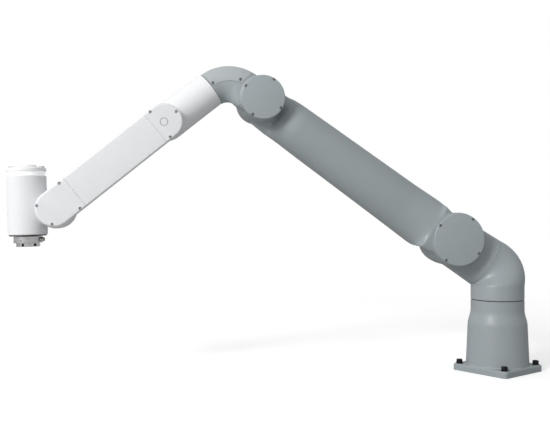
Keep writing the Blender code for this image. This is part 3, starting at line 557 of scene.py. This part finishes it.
def shoulder_rings(wall, low, end, count, steps, chamfer=0.0):
    rings = []
    r = PIPE_R - wall
    starts = [(low, r - chamfer), (low + chamfer, r)] if chamfer else [(low, r)]
    for z, rr in starts + [(pivot[1], r)]:
        rings.append([(-lat, y, z) for lat, y in section(count, rr, -rr, rr, 2.0)])

    def at(f, inset=0.0):
        s = 0.5 - 0.5 * math.cos(math.pi * f)
        extra = 9.0 * math.sin(math.pi * f)
        w = wall + inset
        return pipe_ring(count, pivot[0], pivot[1], bend * f, FAN - PIPE_R + w + 2.8 * s, FAN + PIPE_R - w + extra + 4.3 * s, -(PIPE_R - w) - 2.0 * s, (PIPE_R - w) * (1 - s) + (42.0 - w) * s, 2.0 + 0.35 * s)

    for k in range(1, steps + 1):
        rings.append(at(k / steps))
    d = (math.cos(math.radians(LOWER_ARM_TILT)), math.sin(math.radians(LOWER_ARM_TILT)))
    rest = SEAM_FROM_CORNER - run + end
    for inset, back in ((0.0, chamfer), (chamfer, 0.0)) if chamfer else ((0.0, 0.0),):
        rings.append([(x + d[0] * (rest - back), y, z + d[1] * (rest - back)) for x, y, z in at(1.0, inset)])
    return rings


shoulder = skin("shoulder_body", J1, shoulder_rings(0.0, SHOULDER_BOTTOM, -0.5, 128, 44, 1.2))
cut(shoulder, skin("shoulder_inside", J1, shoulder_rings(7.0, SHOULDER_BOTTOM - 5.0, 5.0, 48, 16)))
finish_piece(shoulder, "shoulder", M_GREY, ["shoulder_casting"], 28.0)

NECK_ROWS = [(-SEAM_2 - 8.0, 79.75, -81.0, 43.0, 2.33, 8.0), (-SEAM_2, 79.75, -81.0, 42.0, 2.35, 8.0), (-115.0, 79.0, -82.5, 38.0, 2.4, 7.8), (-60.0, 76.8, -84.0, 33.0, 2.55, 6.2), (0.0, 74.0, -85.0, 30.0, 2.7, 3.5)]
housing = lathe("shoulder_joint_body", SH, [(69.5, -87.0), (71.6, -85.6), (73.2, -83.2), (75.0, -72.0), (76.6, -60.0), (78.0, -40.0), (78.8, -18.0), (79.0, J2_PLANE - 0.2)], 128, "Y")
join(housing, skin("neck", SH, straight(NECK_ROWS, 96, 6.0)))
soften(housing, 1.5, 8)
cut(
    housing,
    block("seam_cut", SH, (-260.0, -200.0, -200.0), (-SEAM_2 + 0.5, 200.0, 200.0)),
    lathe("relief", SH, [(82.5, J2_PLANE - 0.5), (82.5, 90.0)], 128, "Y"),
    lathe("pocket", SH, [(64.0, -110.0), (64.0, 60.0)], 96, "Y"),
    skin("passage", SH, straight([(-SEAM_2 - 10, 71.0, -72.0, 33.0, 2.35, 8.0), (-90.0, 68.0, -73.0, 24.0, 2.5, 7.0), (-40.0, 56.0, -70.0, 12.0, 2.8, 3.0)], 48, 10.0)),
)
finish_piece(housing, "shoulder", M_GREY, ["shoulder_joint_housing"])
rear = lathe("shoulder_rear_cap", SH, [(64.5, -87.4), (69.0, -87.4), (69.0, -90.2)] + [(69.0 - 4.0 * (1 - math.cos(math.pi / 2 * k / 6)), -90.2 - 4.0 * math.sin(math.pi / 2 * k / 6)) for k in range(1, 7)] + [(40.0, -94.8), (0, -95.0)], 128, "Y")
finish_piece(rear, "shoulder", M_GREY_COVER, ["shoulder_rear_cover"])

# ---------------------------------------------------------------- screws
def cover_screw(name, at, x, z, low, seat, body, replaced, r=3.7, mat=None):
    obj = lathe(name, at, [(2.0, low), (2.0, seat + 0.25), (r, seat + 0.25), (r, seat + 1.5), (r - 0.3, seat + 2.1), (r - 1.0, seat + 2.6), (0, seat + 2.8)], 40, "Y", (x, 0, z))
    cut(obj, hexagon("hex", at, 1.75, seat + 1.2, seat + 8.0, "Y", (x, 0, z), 0.2))
    return finish_piece(obj, body, mat or M_SCREW, replaced)


def seat_cut(at, x, z, low, seat, high, r=4.4):
    return lathe("seat", at, [(2.4, low), (2.4, seat), (r, seat), (r, high)], 40, "Y", (x, 0, z))


# ---------------------------------------------------------------- lower arm
LOWER_ROWS = [
    (20.0, 66.0, J2_PLANE + 2.0, 60.0, 3.0, -6.0),
    (58.0, 68.0, J2_PLANE + 1.5, 61.8, 2.8, -10.0),
    (80.0, 71.5, J2_PLANE + 1.0, 61.5, 2.65, -8.5),
    (84.5, 74.0, -16.0, 60.6, 2.45, -8.0),
    (90.0, 76.0, -56.0, 59.4, 2.35, -6.0),
    (104.0, 77.0, -78.0, 57.0, 2.25, -4.0),
    (140.0, 76.2, -88.5, 52.3, 2.12, -2.5),
    (186.0, 75.0, -91.0, 48.5, 2.05, -2.0),
    (380.0, 71.2, -89.0, 47.0, 2.05, -1.2),
    (570.0, 67.3, -87.0, 45.5, 2.05, -0.5),
    (600.0, 66.4, -86.0, 40.0, 2.15, 0.0),
    (626.0, 65.5, -85.0, 27.0, 2.3, 0.0),
    (642.0, 64.3, -85.0, 8.5, 2.4, 0.0),
    (690.0, 61.4, -84.0, 7.5, 2.5, 0.0),
]
lower = skin("lower_arm_body", J2, straight(LOWER_ROWS, 120, 5.0))
join(
    lower,
    lathe("hub", J2, turned_block(J2_HUB_R, J2_PLANE + 1.0, 61.7, 1.0, 2.0), 160, "Y"),
    lathe("drum", J2, [(56.5, -84.5), (58.6, -83.2), (59.7, -80.5), (60.4, -65.0), (61.0, -40.0), (61.4, J3_PLANE - 1.5), (60.6, J3_PLANE - 0.5)], 128, "Y", (LOWER_ARM, 0, 0)),
)
soften(lower, 1.6, 9)
cut(
    lower,
    lathe("face_cut", J2, [(0.0, 61.7), (110.0, 61.7), (110.0, 90.0), (0.0, 90.0)], 96, "Y"),
    skin(
        "hollow",
        J2,
        straight(
            [
                (30.0, 51.0, J2_PLANE + 9.0, 54.0, 3.0, -4.0),
                (80.0, 56.0, J2_PLANE + 9.0, 49.0, 2.6, -8.0),
                (116.0, 63.0, -42.0, 46.0, 2.2, -4.0),
                (188.0, 66.0, -83.0, 40.0, 2.05, -2.0),
                (560.0, 59.0, -78.0, 38.0, 2.05, -0.5),
                (610.0, 56.5, -76.0, 26.0, 2.3, 0.0),
                (660.0, 50.0, -76.0, -4.0, 2.6, 0.0),
            ],
            48,
            20.0,
        ),
    ),
    lathe("hub_pocket", J2, [(64.0, J2_PLANE + 9.0), (64.0, 80.0)], 96, "Y"),
    lathe("hub_bore", J2, [(30.0, J2_PLANE - 10.0), (30.0, 60.0)], 64, "Y"),
    lathe("end_pocket", J2, [(54.0, -95.0), (54.0, 30.0)], 96, "Y", (LOWER_ARM, 0, 0)),
)
hub_cover = lathe("hub_cover_disc", J2, [(77.5, 62.1), (77.5, 66.2)] + [(77.5 - 2.6 * (1 - math.cos(math.pi / 2 * k / 6)), 66.2 + 2.6 * math.sin(math.pi / 2 * k / 6)) for k in range(1, 7)] + [(r, 68.8 + 3.6 * (1 - (r / 74.9) ** 2)) for r in (68.0, 60.0, 50.0, 38.0, 24.0, 10.0, 0.0)], 192, "Y")
HUB_SCREWS = [(72.6 * math.cos(math.radians(a)), 72.6 * math.sin(math.radians(a))) for a in (0, 90, 180, 270)]
for x, z in HUB_SCREWS:
    cut(hub_cover, seat_cut(J2, x, z, 50.0, 65.4, 80.0))
for i, (x, z) in enumerate(HUB_SCREWS):
    cut(lower, seat_cut(J2, x, z, 50.0, 90.0, 91.0))
    cover_screw(f"hub_screw_{i + 1}", J2, x, z, 51.0, 65.4, "lower_arm", [f"hub_cover_screw_{i + 1}"])
finish_piece(lower, "lower_arm", M_GREY, ["lower_arm_casting"])
finish_piece(hub_cover, "lower_arm", M_GREY_DISC, ["lower_arm_hub_cover"], 30.0)
rear2 = lathe("lower_arm_rear_cap", J2, [(54.6, -84.9), (57.2, -84.9), (57.2, -88.0)] + [(57.2 - 3.0 * (1 - math.cos(math.pi / 2 * k / 6)), -88.0 - 3.0 * math.sin(math.pi / 2 * k / 6)) for k in range(1, 7)] + [(35.0, -91.8), (0, -92.0)], 128, "Y", (LOWER_ARM, 0, 0))
finish_piece(rear2, "lower_arm", M_GREY_COVER, ["lower_arm_rear_cover"])

# ---------------------------------------------------------------- elbow
CENTRE = (NECK_X, NECK_Z)
NECK = [
    (0.0, 78.5, 54.5, 13.0, 64.0, 3.2),
    (18.0, 77.0, 53.0, 12.0, 63.0, 2.9),
    (34.0, 78.0, 52.0, 11.5, 60.5, 2.5),
    (45.0, 80.0, 51.6, -6.0, 57.5, 2.3),
    (56.0, 82.0, 51.2, -24.0, 54.8, 2.15),
    (68.0, 83.4, 50.6, -41.0, 52.0, 2.05),
    (78.0, 84.0, 50.2, -48.5, 50.5, 2.0),
]


def neck_rings(wall, count, first=0.0, last=J4_SEAM, lead=0.0):
    rings = []
    for angle, mid, hw, y0, y1, power in smooth_rows(NECK, 2.5):
        if angle < first:
            continue
        a = math.radians(angle)
        out = (-math.cos(a), math.sin(a))
        rings.append([(CENTRE[0] + out[0] * (mid + lat), y, CENTRE[1] + out[1] * (mid + lat)) for lat, y in section(count, hw - wall, y0 + wall, y1 - wall, power)])
    if lead:
        rings.insert(0, [(10.5 + (x - 18.5) * 0.93, y, z - lead) for x, y, z in rings[0]])
    rings.append([(last, y, ELBOW_OFFSET + lat) for lat, y in section(count, NECK_R - wall, -NECK_R + wall, NECK_R - wall, 2.0)])
    return rings


def saddle(name, grow):
    inner_r = 86.0 - grow
    a0, a1 = 30.5, 85.0
    pts = [(COVER_END + grow, 200.0), (-70.0, 200.0), (-70.0, 73.0 - grow), (-20.0, 71.0 - grow)]
    for k in range(25):
        a = math.radians(a0 + (a1 - a0) * k / 24)
        pts.append((CENTRE[0] - inner_r * math.cos(a), max(CENTRE[1] + inner_r * math.sin(a), 69.7 - grow)))
    pts.append((COVER_END + grow, CENTRE[1] + inner_r + 0.5))
    return slab(name, J3, [(pts, -80.0), (pts, 80.0)])


def elbow_blank(name):
    obj = lathe(name, J3, turned_block(J3_DRUM_R, J3_PLANE + 0.8, 65.2, 1.0, 1.5), 128, "Y")
    join(obj, skin("neck", J3, neck_rings(0.0, 96, last=J4_SEAM + 6.0, lead=28.0)))
    soften(obj, 1.2, 7)
    return cut(obj, block("seam", J3, (J4_SEAM - 0.35, -100.0, 0.0), (J4_SEAM + 60.0, 100.0, 220.0)))


def neck_hollow():
    return skin("neck_hollow", J3, neck_rings(5.0, 48, 10.0, J4_SEAM + 10.0))


elbow = elbow_blank("elbow_body")
top = bpy.data.objects.new("elbow_top_shell", elbow.data.copy())
bpy.context.scene.collection.objects.link(top)
cut(elbow, lathe("pocket", J3, [(50.0, J3_PLANE + 8.0), (50.0, 80.0)], 96, "Y"), lathe("bore", J3, [(24.0, J3_PLANE - 5.0), (24.0, 60.0)], 64, "Y"), neck_hollow(), saddle("opening", 0.85))
cut(top, neck_hollow())
common(top, saddle("region", 0.0))
for i, (x, z, seat_y) in enumerate(((84.4, 118.0, 47.0), (18.9, 78.0, 56.6))):
    cut(top, seat_cut(J3, x, z, 20.0, seat_y, 90.0))
    cover_screw(f"top_screw_{i + 1}", J3, x, z, seat_y - 8.0, seat_y, "elbow", [f"top_cover_screw_{i + 1}"])
drum_cover = lathe("elbow_disc", J3, [(61.8, 65.5), (61.8, 68.2)] + [(61.8 - 2.2 * (1 - math.cos(math.pi / 2 * k / 6)), 68.2 + 2.2 * math.sin(math.pi / 2 * k / 6)) for k in range(1, 7)] + [(r, 70.4 + 3.4 * (1 - (r / 59.6) ** 2)) for r in (54.0, 46.0, 37.0, 27.0, 16.0, 7.0, 0.0)], 160, "Y")
DRUM_SCREWS = [(58.4 * math.cos(math.radians(a)), 58.4 * math.sin(math.radians(a))) for a in (70.0, 160.0, 250.0, 340.0)]
for i, (x, z) in enumerate(DRUM_SCREWS):
    cut(drum_cover, seat_cut(J3, x, z, 55.0, 67.0, 85.0))
    cut(elbow, seat_cut(J3, x, z, 55.0, 90.0, 91.0))
    cover_screw(f"drum_screw_{i + 1}", J3, x, z, 56.0, 67.0, "elbow", [f"drum_cover_screw_{i + 1}"])
finish_piece(elbow, "elbow", M_GREY, ["elbow_casting"])
# The top cover takes the lighter grey, a painted highlight for the light from above.
finish_piece(top, "elbow", M_GREY_TOP_LIT, ["elbow_top_cover"])
finish_piece(drum_cover, "elbow", M_GREY_DISC, ["elbow_drum_cover"], 30.0)

# ---------------------------------------------------------------- forearm
START = J4_SEAM + 0.7
TUBE_ROWS = [
    (START - 8.0, 50.3, -50.0, 50.0, 2.0, 1.0),
    (START, 50.3, -50.0, 50.0, 2.0, 1.0),
    (150.0, 51.0, -51.0, 51.0, 2.0, 2.0),
    (215.0, 52.0, -52.0, 52.0, 2.0, 3.0),
    (248.0, 51.6, -50.0, 55.0, 2.1, 2.4),
    (262.0, 49.5, -46.0, 62.0, 2.2, 1.5),
    (285.0, 43.0, -36.0, 65.0, 2.3, 1.5),
    (320.0, 39.0, -14.0, 66.0, 2.4, 2.0),
    (360.0, 37.0, 14.0, 66.0, 2.5, 2.0),
    (400.0, 36.0, 40.0, 66.0, 2.5, 2.0),
    (425.0, 35.0, 57.5, 66.0, 2.5, 2.0),
]


def arm_plan(inset, steps=24):
    return stadium(COVER_A_FROM, SIDE_HALF + 0.5 - inset, FOREARM, SIDE_HALF - inset, 3.0, 0.8, steps)


fore = skin("forearm_body", J4, straight(TUBE_ROWS, 108, 5.0))
back_rows = [(arm_plan(7.0 * (1 - math.sin(math.pi / 2 * k / 6))), SIDE_BACK + 7.0 * (1 - math.cos(math.pi / 2 * k / 6))) for k in range(7)]
join(
    fore,
    slab("side_back", J4, back_rows + [(arm_plan(0.0), SIDE_SPLIT + 4.0)]),
    lathe("motor_drum", J4, [(46.2, 24.0), (46.2, SIDE_SPLIT + 3.0)], 96, "Y", (COVER_A_FROM, 0, 3.0)),
)
soften(fore, 1.2, 7)
cut(
    fore,
    block("start_cut", J4, (0.0, -120.0, -120.0), (START + 0.1, 120.0, 120.0)),
    block("split_cut", J4, (180.0, SIDE_SPLIT - 0.5, -120.0), (760.0, 120.0, 120.0)),
    skin("hollow", J4, straight([(START - 10.0, 45.5, -45.5, 45.5, 2.0, 1.0), (215.0, 46.5, -46.5, 46.5, 2.0, 3.0), (262.0, 42.0, -40.0, 46.0, 2.2, 1.5), (300.0, 34.0, -20.0, 48.0, 2.3, 1.5)], 48, 10.0)),
    slab("side_pocket", J4, [(stadium(258.0, 38.0, 634.0, 38.0, 3.0, 0.0, 16), 60.5), (stadium(258.0, 38.0, 634.0, 38.0, 3.0, 0.0, 16), 90.0)]),
    lathe("motor_window", J4, [(33.0, 20.0), (33.0, 80.0)], 64, "Y", (256.0, 0, 2.0)),
    lathe("wrist_window", J4, [(33.0, 30.0), (33.0, 80.0)], 64, "Y", (FOREARM, 0, 0)),
)


def plan_a(i):
    return stadium(COVER_A_FROM, SIDE_HALF + 0.5 - i, COVER_A_TO - 0.24, SIDE_HALF + 0.5 - i, 3.0, 2.9, 28, flat1=True)


def plan_mid(i):
    return stadium(COVER_A_TO + 0.24, SIDE_HALF + 0.5 - i, COVER_B_FROM - 0.24, SIDE_HALF - i, 2.9, 1.2, 12, flat0=True, flat1=True)


def plan_b(i):
    return stadium(COVER_B_FROM + 0.24, SIDE_HALF - i, FOREARM, SIDE_HALF - i, 1.2, 0.8, 28, flat0=True)


def shell_cover(name, outline, pocket):
    y0, y1, soft = SIDE_SPLIT, SIDE_FRONT, 6.0
    rows = [(outline(0.4), y0), (outline(0.0), y0 + 0.5), (outline(0.0), y1 - soft)]
    rows += [(outline(soft * 0.9 * (1 - math.cos(math.pi / 2 * k / 9))), y1 - soft + soft * math.sin(math.pi / 2 * k / 9)) for k in range(1, 10)]
    obj = slab(name, J4, rows)
    return cut(obj, slab("inside", J4, [(pocket, y0 - 10.0), (pocket, y1 - 4.0)]))


cover_a = shell_cover("motor_cover_shell", plan_a, stadium(COVER_A_FROM, 34.0, 286.0, 34.0, 3.0, 2.9, 16, flat1=True))
cover_m = shell_cover("side_panel_shell", plan_mid, stadium(298.0, 41.0, 561.0, 41.0, 2.9, 0.4, 8, flat0=True, flat1=True))
cover_b = shell_cover("wrist_cover_shell", plan_b, stadium(573.5, 34.0, FOREARM, 34.0, 0.3, 0.0, 16, flat0=True))
SCREWS_A = ((275.6, 46.3), (275.6, -40.0), (219.5, 4.0))
SCREWS_B = ((584.2, 44.3), (584.2, -41.8), (666.6, 33.4), (666.6, -29.6))
for group, screws, cover in (("motor", SCREWS_A, cover_a), ("drive", SCREWS_B, cover_b)):
    for i, (x, z) in enumerate(screws):
        cut(cover, seat_cut(J4, x, z, 62.0, 77.6, 95.0, 4.2))
        cover_screw(f"{group}_screw_{i + 1}", J4, x, z, 63.0, 77.6, "forearm", [f"{group}_cover_screw_{i + 1}"], 3.3, M_SCREW_PALE)
finish_piece(fore, "forearm", M_WHITE, ["forearm_casting"])
finish_piece(cover_a, "forearm", M_WHITE_COVER, ["motor_cover"], 30.0)
finish_piece(cover_m, "forearm", M_WHITE_COVER, ["side_arm_panel"], 30.0)
finish_piece(cover_b, "forearm", M_WHITE_COVER, ["wrist_drive_cover"], 30.0)
mark = lathe("cover_ring_mark", J4, [(9.6, SIDE_FRONT - 0.3), (11.0, SIDE_FRONT - 0.3), (11.0, SIDE_FRONT + 0.12), (9.6, SIDE_FRONT + 0.12)], 72, "Y", (263.0, 0, 3.0), closed=True)
finish_piece(mark, "forearm", M_MARK)

# ---------------------------------------------------------------- wrist
C6 = (WRIST_OFFSET, 0, 0)
wrist = lathe("wrist_body", J5, [(WRIST_R, WRIST_BOTTOM - 6.0), (WRIST_R, WRIST_TOP + 6.0)], 144, "Z", C6)
drum_profile = [(30.0, -50.5), (40.5, -47.0), (47.2, -39.5), (51.2, -28.0), (53.3, -10.0), (53.5, 10.0), (53.3, 32.0), (52.0, 43.0), (50.0, 50.5), (47.5, 54.9)]
join(wrist, lathe("drum", J5, drum_profile, 128, "Y"))
soften(wrist, 1.1, 7)
cut(
    wrist,
    lathe("low_cut", J5, [(WRIST_R - 1.6, WRIST_BOTTOM), (90.0, WRIST_BOTTOM), (90.0, WRIST_BOTTOM - 30.0), (WRIST_R - 1.6, WRIST_BOTTOM - 30.0)], 144, "Z", C6, closed=True),
    lathe("low_rim", J5, [(WRIST_R - 1.6, WRIST_BOTTOM - 0.01), (WRIST_R + 2.0, WRIST_BOTTOM + 3.6), (WRIST_R + 2.0, WRIST_BOTTOM - 20.0), (WRIST_R - 1.6, WRIST_BOTTOM - 20.0)], 144, "Z", C6, closed=True),
    lathe("low_bore", J5, [(WRIST_R - 1.5, -100.0), (WRIST_R - 1.5, WRIST_BOTTOM), (46.0, WRIST_BOTTOM), (46.0, 30.0)], 96, "Z", C6),
    lathe("top_bore", J5, [(42.0, 20.0), (42.0, WRIST_TOP), (80.0, WRIST_TOP), (80.0, 130.0)], 96, "Z", C6),
    lathe("hub_bore", J5, [(31.3, -10.0), (31.3, 60.0)], 64, "Y"),
)
finish_piece(wrist, "wrist", M_WHITE, ["wrist_housing"])
ring = lathe("light_ring_lens", J5, [(43.5, WRIST_TOP + 0.3), (49.1, WRIST_TOP + 0.3), (49.7, WRIST_TOP + 0.9), (49.7, 103.0), (49.1, 103.6), (43.5, 103.6)], 144, "Z", C6, closed=True)
finish_piece(ring, "wrist", M_RING, ["wrist_light_ring"])
cap = lathe(
    "cap_shell",
    J5,
    [(0, 84.0), (41.2, 84.0), (41.2, 104.0), (51.9, 104.0), (52.5, 104.6), (52.5, 110.6)]
    + [(52.5 - 4.0 * (1 - math.cos(math.pi / 2 * k / 7)), 110.6 + 3.6 * math.sin(math.pi / 2 * k / 7)) for k in range(1, 8)]
    + [(43.0, 115.6), (36.0, 116.8), (30.0, 117.5), (28.4, 117.8), (27.4, 118.8), (26.9, 120.4), (26.2, 121.3), (25.0, 121.6), (0, 121.6)],
    144,
    "Z",
    C6,
)
for name, side in (("guide_button", -1.0), ("program_button", 1.0)):
    x = WRIST_OFFSET + side * 40.0
    cut(cap, lathe("well", J5, [(8.4, 109.0), (8.4, 140.0)], 56, "Z", (x, 0, 0)))
    button = lathe(name + "_key", J5, [(0, 111.2), (7.9, 111.2), (7.9, 117.5)] + [(7.9 - 1.1 * (1 - math.cos(math.pi / 2 * k / 5)), 117.5 + 1.1 * math.sin(math.pi / 2 * k / 5)) for k in range(1, 6)] + [(4.0, 118.9), (0, 119.0)], 56, "Z", (x, 0, 0))
    finish_piece(button, name, M_BUTTON, [name])
# The cap takes the lighter white, a painted highlight in place of real light on its rim.
finish_piece(cap, "wrist", M_WHITE_CAP_LIT, ["wrist_cap"], 30.0)
wseal = lathe("wrist_seal_ring", J5, [(42.0, -71.8), (49.0, -71.8), (49.5, -71.4), (49.5, WRIST_BOTTOM - 0.4), (42.0, WRIST_BOTTOM - 0.4)], 128, "Z", C6, closed=True)
finish_piece(wseal, "wrist", M_RUBBER, ["wrist_seal"])

# ---------------------------------------------------------------- tool flange
STUB_R = 31.5
flange = lathe(
    "tool_flange_body",
    J6,
    [
        (9.6, -73.0), (37.9, -73.0), (38.5, -73.6), (38.5, -77.8), (37.6, -78.3), (37.6, -79.3), (38.5, -79.8), (38.5, -89.8), (37.7, -90.6),
        (33.0, -90.6), (32.2, -91.0), (STUB_R, -91.6), (STUB_R, -100.2), (STUB_R - 0.8, -101.0), (16.4, -101.0), (15.8, -100.4), (15.8, -94.5), (6.5, -94.5), (6.5, 50.0), (9.6, 50.0),
    ],
    160,
    "Z",
    closed=True,
)
for i in range(6):
    a = math.radians(60.0 * i + 12.0)
    c, s = math.cos(a), math.sin(a)
    outline = [(x * c - y * s, x * s + y * c) for x, y in [(26.6, -3.4), (40.0, -3.4), (40.0, 3.4), (26.6, 3.4)]]
    cut(flange, skin("slot", J6, [[(x, y, -110.0) for x, y in outline], [(x, y, -92.2) for x, y in outline]]))
for i in range(4):
    a = math.radians(90.0 * i + 45.0)
    cut(flange, lathe("hole", J6, [(3.1, -120.0), (3.1, -100.4), (2.5, -99.8), (2.5, -92.5)], 32, "Z", (25.0 * math.cos(a), 25.0 * math.sin(a), 0)))
cut(flange, lathe("pin_hole", J6, [(2.4, -120.0), (2.4, -95.0)], 32, "Z", (25.0, 0, 0)))
cut(flange, lathe("side_hole", J6, [(3.2, 30.0), (3.2, 60.0)], 32, "Y", (14.0, 0, -84.8)))
finish_piece(flange, "tool_flange", M_FLANGE, ["tool_flange"], 28.0)
# Painted shade: a dark ring on the slot floors stands for the shadow down in the flange slots; it is not a part of the
# flange.
slot_shade = lathe("flange_slot_painted_shade", J6, [(26.9, -92.5), (27.4, -92.5), (27.4, -100.0), (26.9, -100.0)], 96, "Z", closed=True)
finish_piece(slot_shade, "tool_flange", M_BLACK_STEEL)
SIDE = J6 @ turn("Z", 158.0)
plug = lathe("tool_plug", SIDE, [(6.0, 38.9), (6.0, 41.5), (5.5, 42.0), (6.0, 42.5), (6.0, 47.2), (5.4, 48.0), (3.6, 48.0), (3.6, 45.0), (0.0, 45.0)], 48, "X", (0, 0, -81.5))
finish_piece(plug, "tool_flange", M_NICKEL, ["tool_connector"])
for k in range(4):
    a = math.pi / 2 * k + 0.4
    pin = lathe(f"tool_plug_pin_{k + 1}", SIDE, [(0.45, 45.05), (0.45, 47.0), (0, 47.3)], 12, "X", (0, 1.7 * math.cos(a), -81.5 + 1.7 * math.sin(a)))
    finish_piece(pin, "tool_flange", M_NICKEL)

# ---------------------------------------------------------------- CAD pieces that stay, all inside the joints
INNER = {"gear_unit": M_ALU, "output_hub": M_INNER}
for name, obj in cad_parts.items():
    for key, mat in INNER.items():
        if key in name:
            obj.data.materials.clear()
            obj.data.materials.append(mat)

# ---------------------------------------------------------------- stage, light, camera
FLOOR_GLOW, FLOOR_BOUNCE = 0.36, 0.45
SKY_MEAN, SKY_SIDE, SKY_UP, SKY_FRONT = 0.605, 0.15, -0.08, 0.0
KEY, TOP = 194.0, 0.5
floor_mesh = bpy.data.meshes.new("floor")
S = 14.0
floor_mesh.from_pydata([(-S, -S, 0), (S, -S, 0), (S, S, 0), (-S, S, 0)], [], [(0, 1, 2, 3)])
floor = bpy.data.objects.new("floor", floor_mesh)
bpy.context.scene.collection.objects.link(floor)
fmat, ftree, fshader, fcoords = base_material("floor_paper")
fshader.inputs["Roughness"].default_value = 0.9
fshader.inputs["Specular IOR Level"].default_value = 0.1
reach = node(ftree, "ShaderNodeVectorMath", operation="LENGTH")
ftree.links.new(fcoords, reach.inputs[0])
far = ramp(ftree, reach.outputs["Value"], 1.0, 3.2, 0.0, 1.0)
paper = mixed(ftree, noise(ftree, fcoords, 3.0, 3.0), (0.90, 0.90, 0.90, 1), (0.92, 0.92, 0.92, 1))
ftree.links.new(mixed(ftree, far, paper, (0.0, 0.0, 0.0, 1)), fshader.inputs["Base Color"])
fshader.inputs["Emission Color"].default_value = (1, 1, 1, 1)
ftree.links.new(ramp(ftree, far, 0.0, 1.0, FLOOR_GLOW, 1.0), fshader.inputs["Emission Strength"])
bounce = node(ftree, "ShaderNodeBsdfDiffuse")
bounce.inputs["Color"].default_value = (FLOOR_BOUNCE, FLOOR_BOUNCE, FLOOR_BOUNCE, 1)
seen = node(ftree, "ShaderNodeLightPath")
pick = node(ftree, "ShaderNodeMixShader")
ftree.links.new(seen.outputs["Is Camera Ray"], pick.inputs[0])
ftree.links.new(bounce.outputs[0], pick.inputs[1])
ftree.links.new(fshader.outputs[0], pick.inputs[2])
ftree.links.new(pick.outputs[0], ftree.nodes["Material Output"].inputs["Surface"])
floor_mesh.materials.append(fmat)

forward = Vector((-0.6292, -0.7773, 0.0))
right = Vector((forward.y, -forward.x, 0.0))
centre = Vector((0.55, -0.30, 0.5))
up = Vector((0, 0, 1))

world = bpy.data.worlds.new("studio")
bpy.context.scene.world = world
world.use_nodes = True
wt = world.node_tree
bg = wt.nodes["Background"]
bg.inputs["Color"].default_value = (1.0, 1.0, 1.0, 1.0)
towards = node(wt, "ShaderNodeTexCoord").outputs["Generated"]


def along(direction):
    dot = node(wt, "ShaderNodeVectorMath", operation="DOT_PRODUCT")
    wt.links.new(towards, dot.inputs[0])
    dot.inputs[1].default_value = direction
    return dot.outputs["Value"]


def total(*values):
    out = values[0]
    for value in values[1:]:
        add = node(wt, "ShaderNodeMath", operation="ADD")
        wt.links.new(out, add.inputs[0])
        wt.links.new(value, add.inputs[1])
        out = add.outputs[0]
    return out


sky = total(
    ramp(wt, along(-right), -1.0, 1.0, -SKY_SIDE, SKY_SIDE),
    ramp(wt, along(up), -1.0, 1.0, -SKY_UP, SKY_UP),
    ramp(wt, along(-forward), -1.0, 1.0, SKY_MEAN - SKY_FRONT, SKY_MEAN + SKY_FRONT),
)
wt.links.new(sky, bg.inputs["Strength"])
white_bg = node(wt, "ShaderNodeBackground", Strength=1.0)
white_bg.inputs["Color"].default_value = (1, 1, 1, 1)
path = node(wt, "ShaderNodeLightPath")
mixs = node(wt, "ShaderNodeMixShader")
wt.links.new(path.outputs["Is Camera Ray"], mixs.inputs[0])
wt.links.new(bg.outputs[0], mixs.inputs[1])
wt.links.new(white_bg.outputs[0], mixs.inputs[2])
wt.links.new(mixs.outputs[0], wt.nodes["World Output"].inputs["Surface"])


def area(name, location, target, size, power, color=(1, 1, 1)):
    light = bpy.data.lights.new(name, "AREA")
    light.shape = "RECTANGLE"
    light.size, light.size_y = size
    light.energy = power
    light.color = color
    obj = bpy.data.objects.new(name, light)
    bpy.context.scene.collection.objects.link(obj)
    obj.location = location
    obj.rotation_euler = (Vector(target) - Vector(location)).to_track_quat("-Z", "Y").to_euler()
    return obj


area("key", centre - forward * 3.9 - right * 3.3 + up * 2.5, centre, (1.5, 1.5), KEY)
area("top", centre + up * 2.6 + forward * 0.3, centre, (2.4, 2.4), TOP)

cam = bpy.data.cameras.new("camera")
cam.lens = 50.07
cam.sensor_width = 36.0
camera = bpy.data.objects.new("camera", cam)
bpy.context.scene.collection.objects.link(camera)
camera.location = (1.9926, 1.3846, 0.4576)
camera.rotation_euler = (math.radians(90.0), 0.0, math.radians(141.0))
bpy.context.scene.camera = camera
bpy.context.scene.view_settings.view_transform = "Standard"
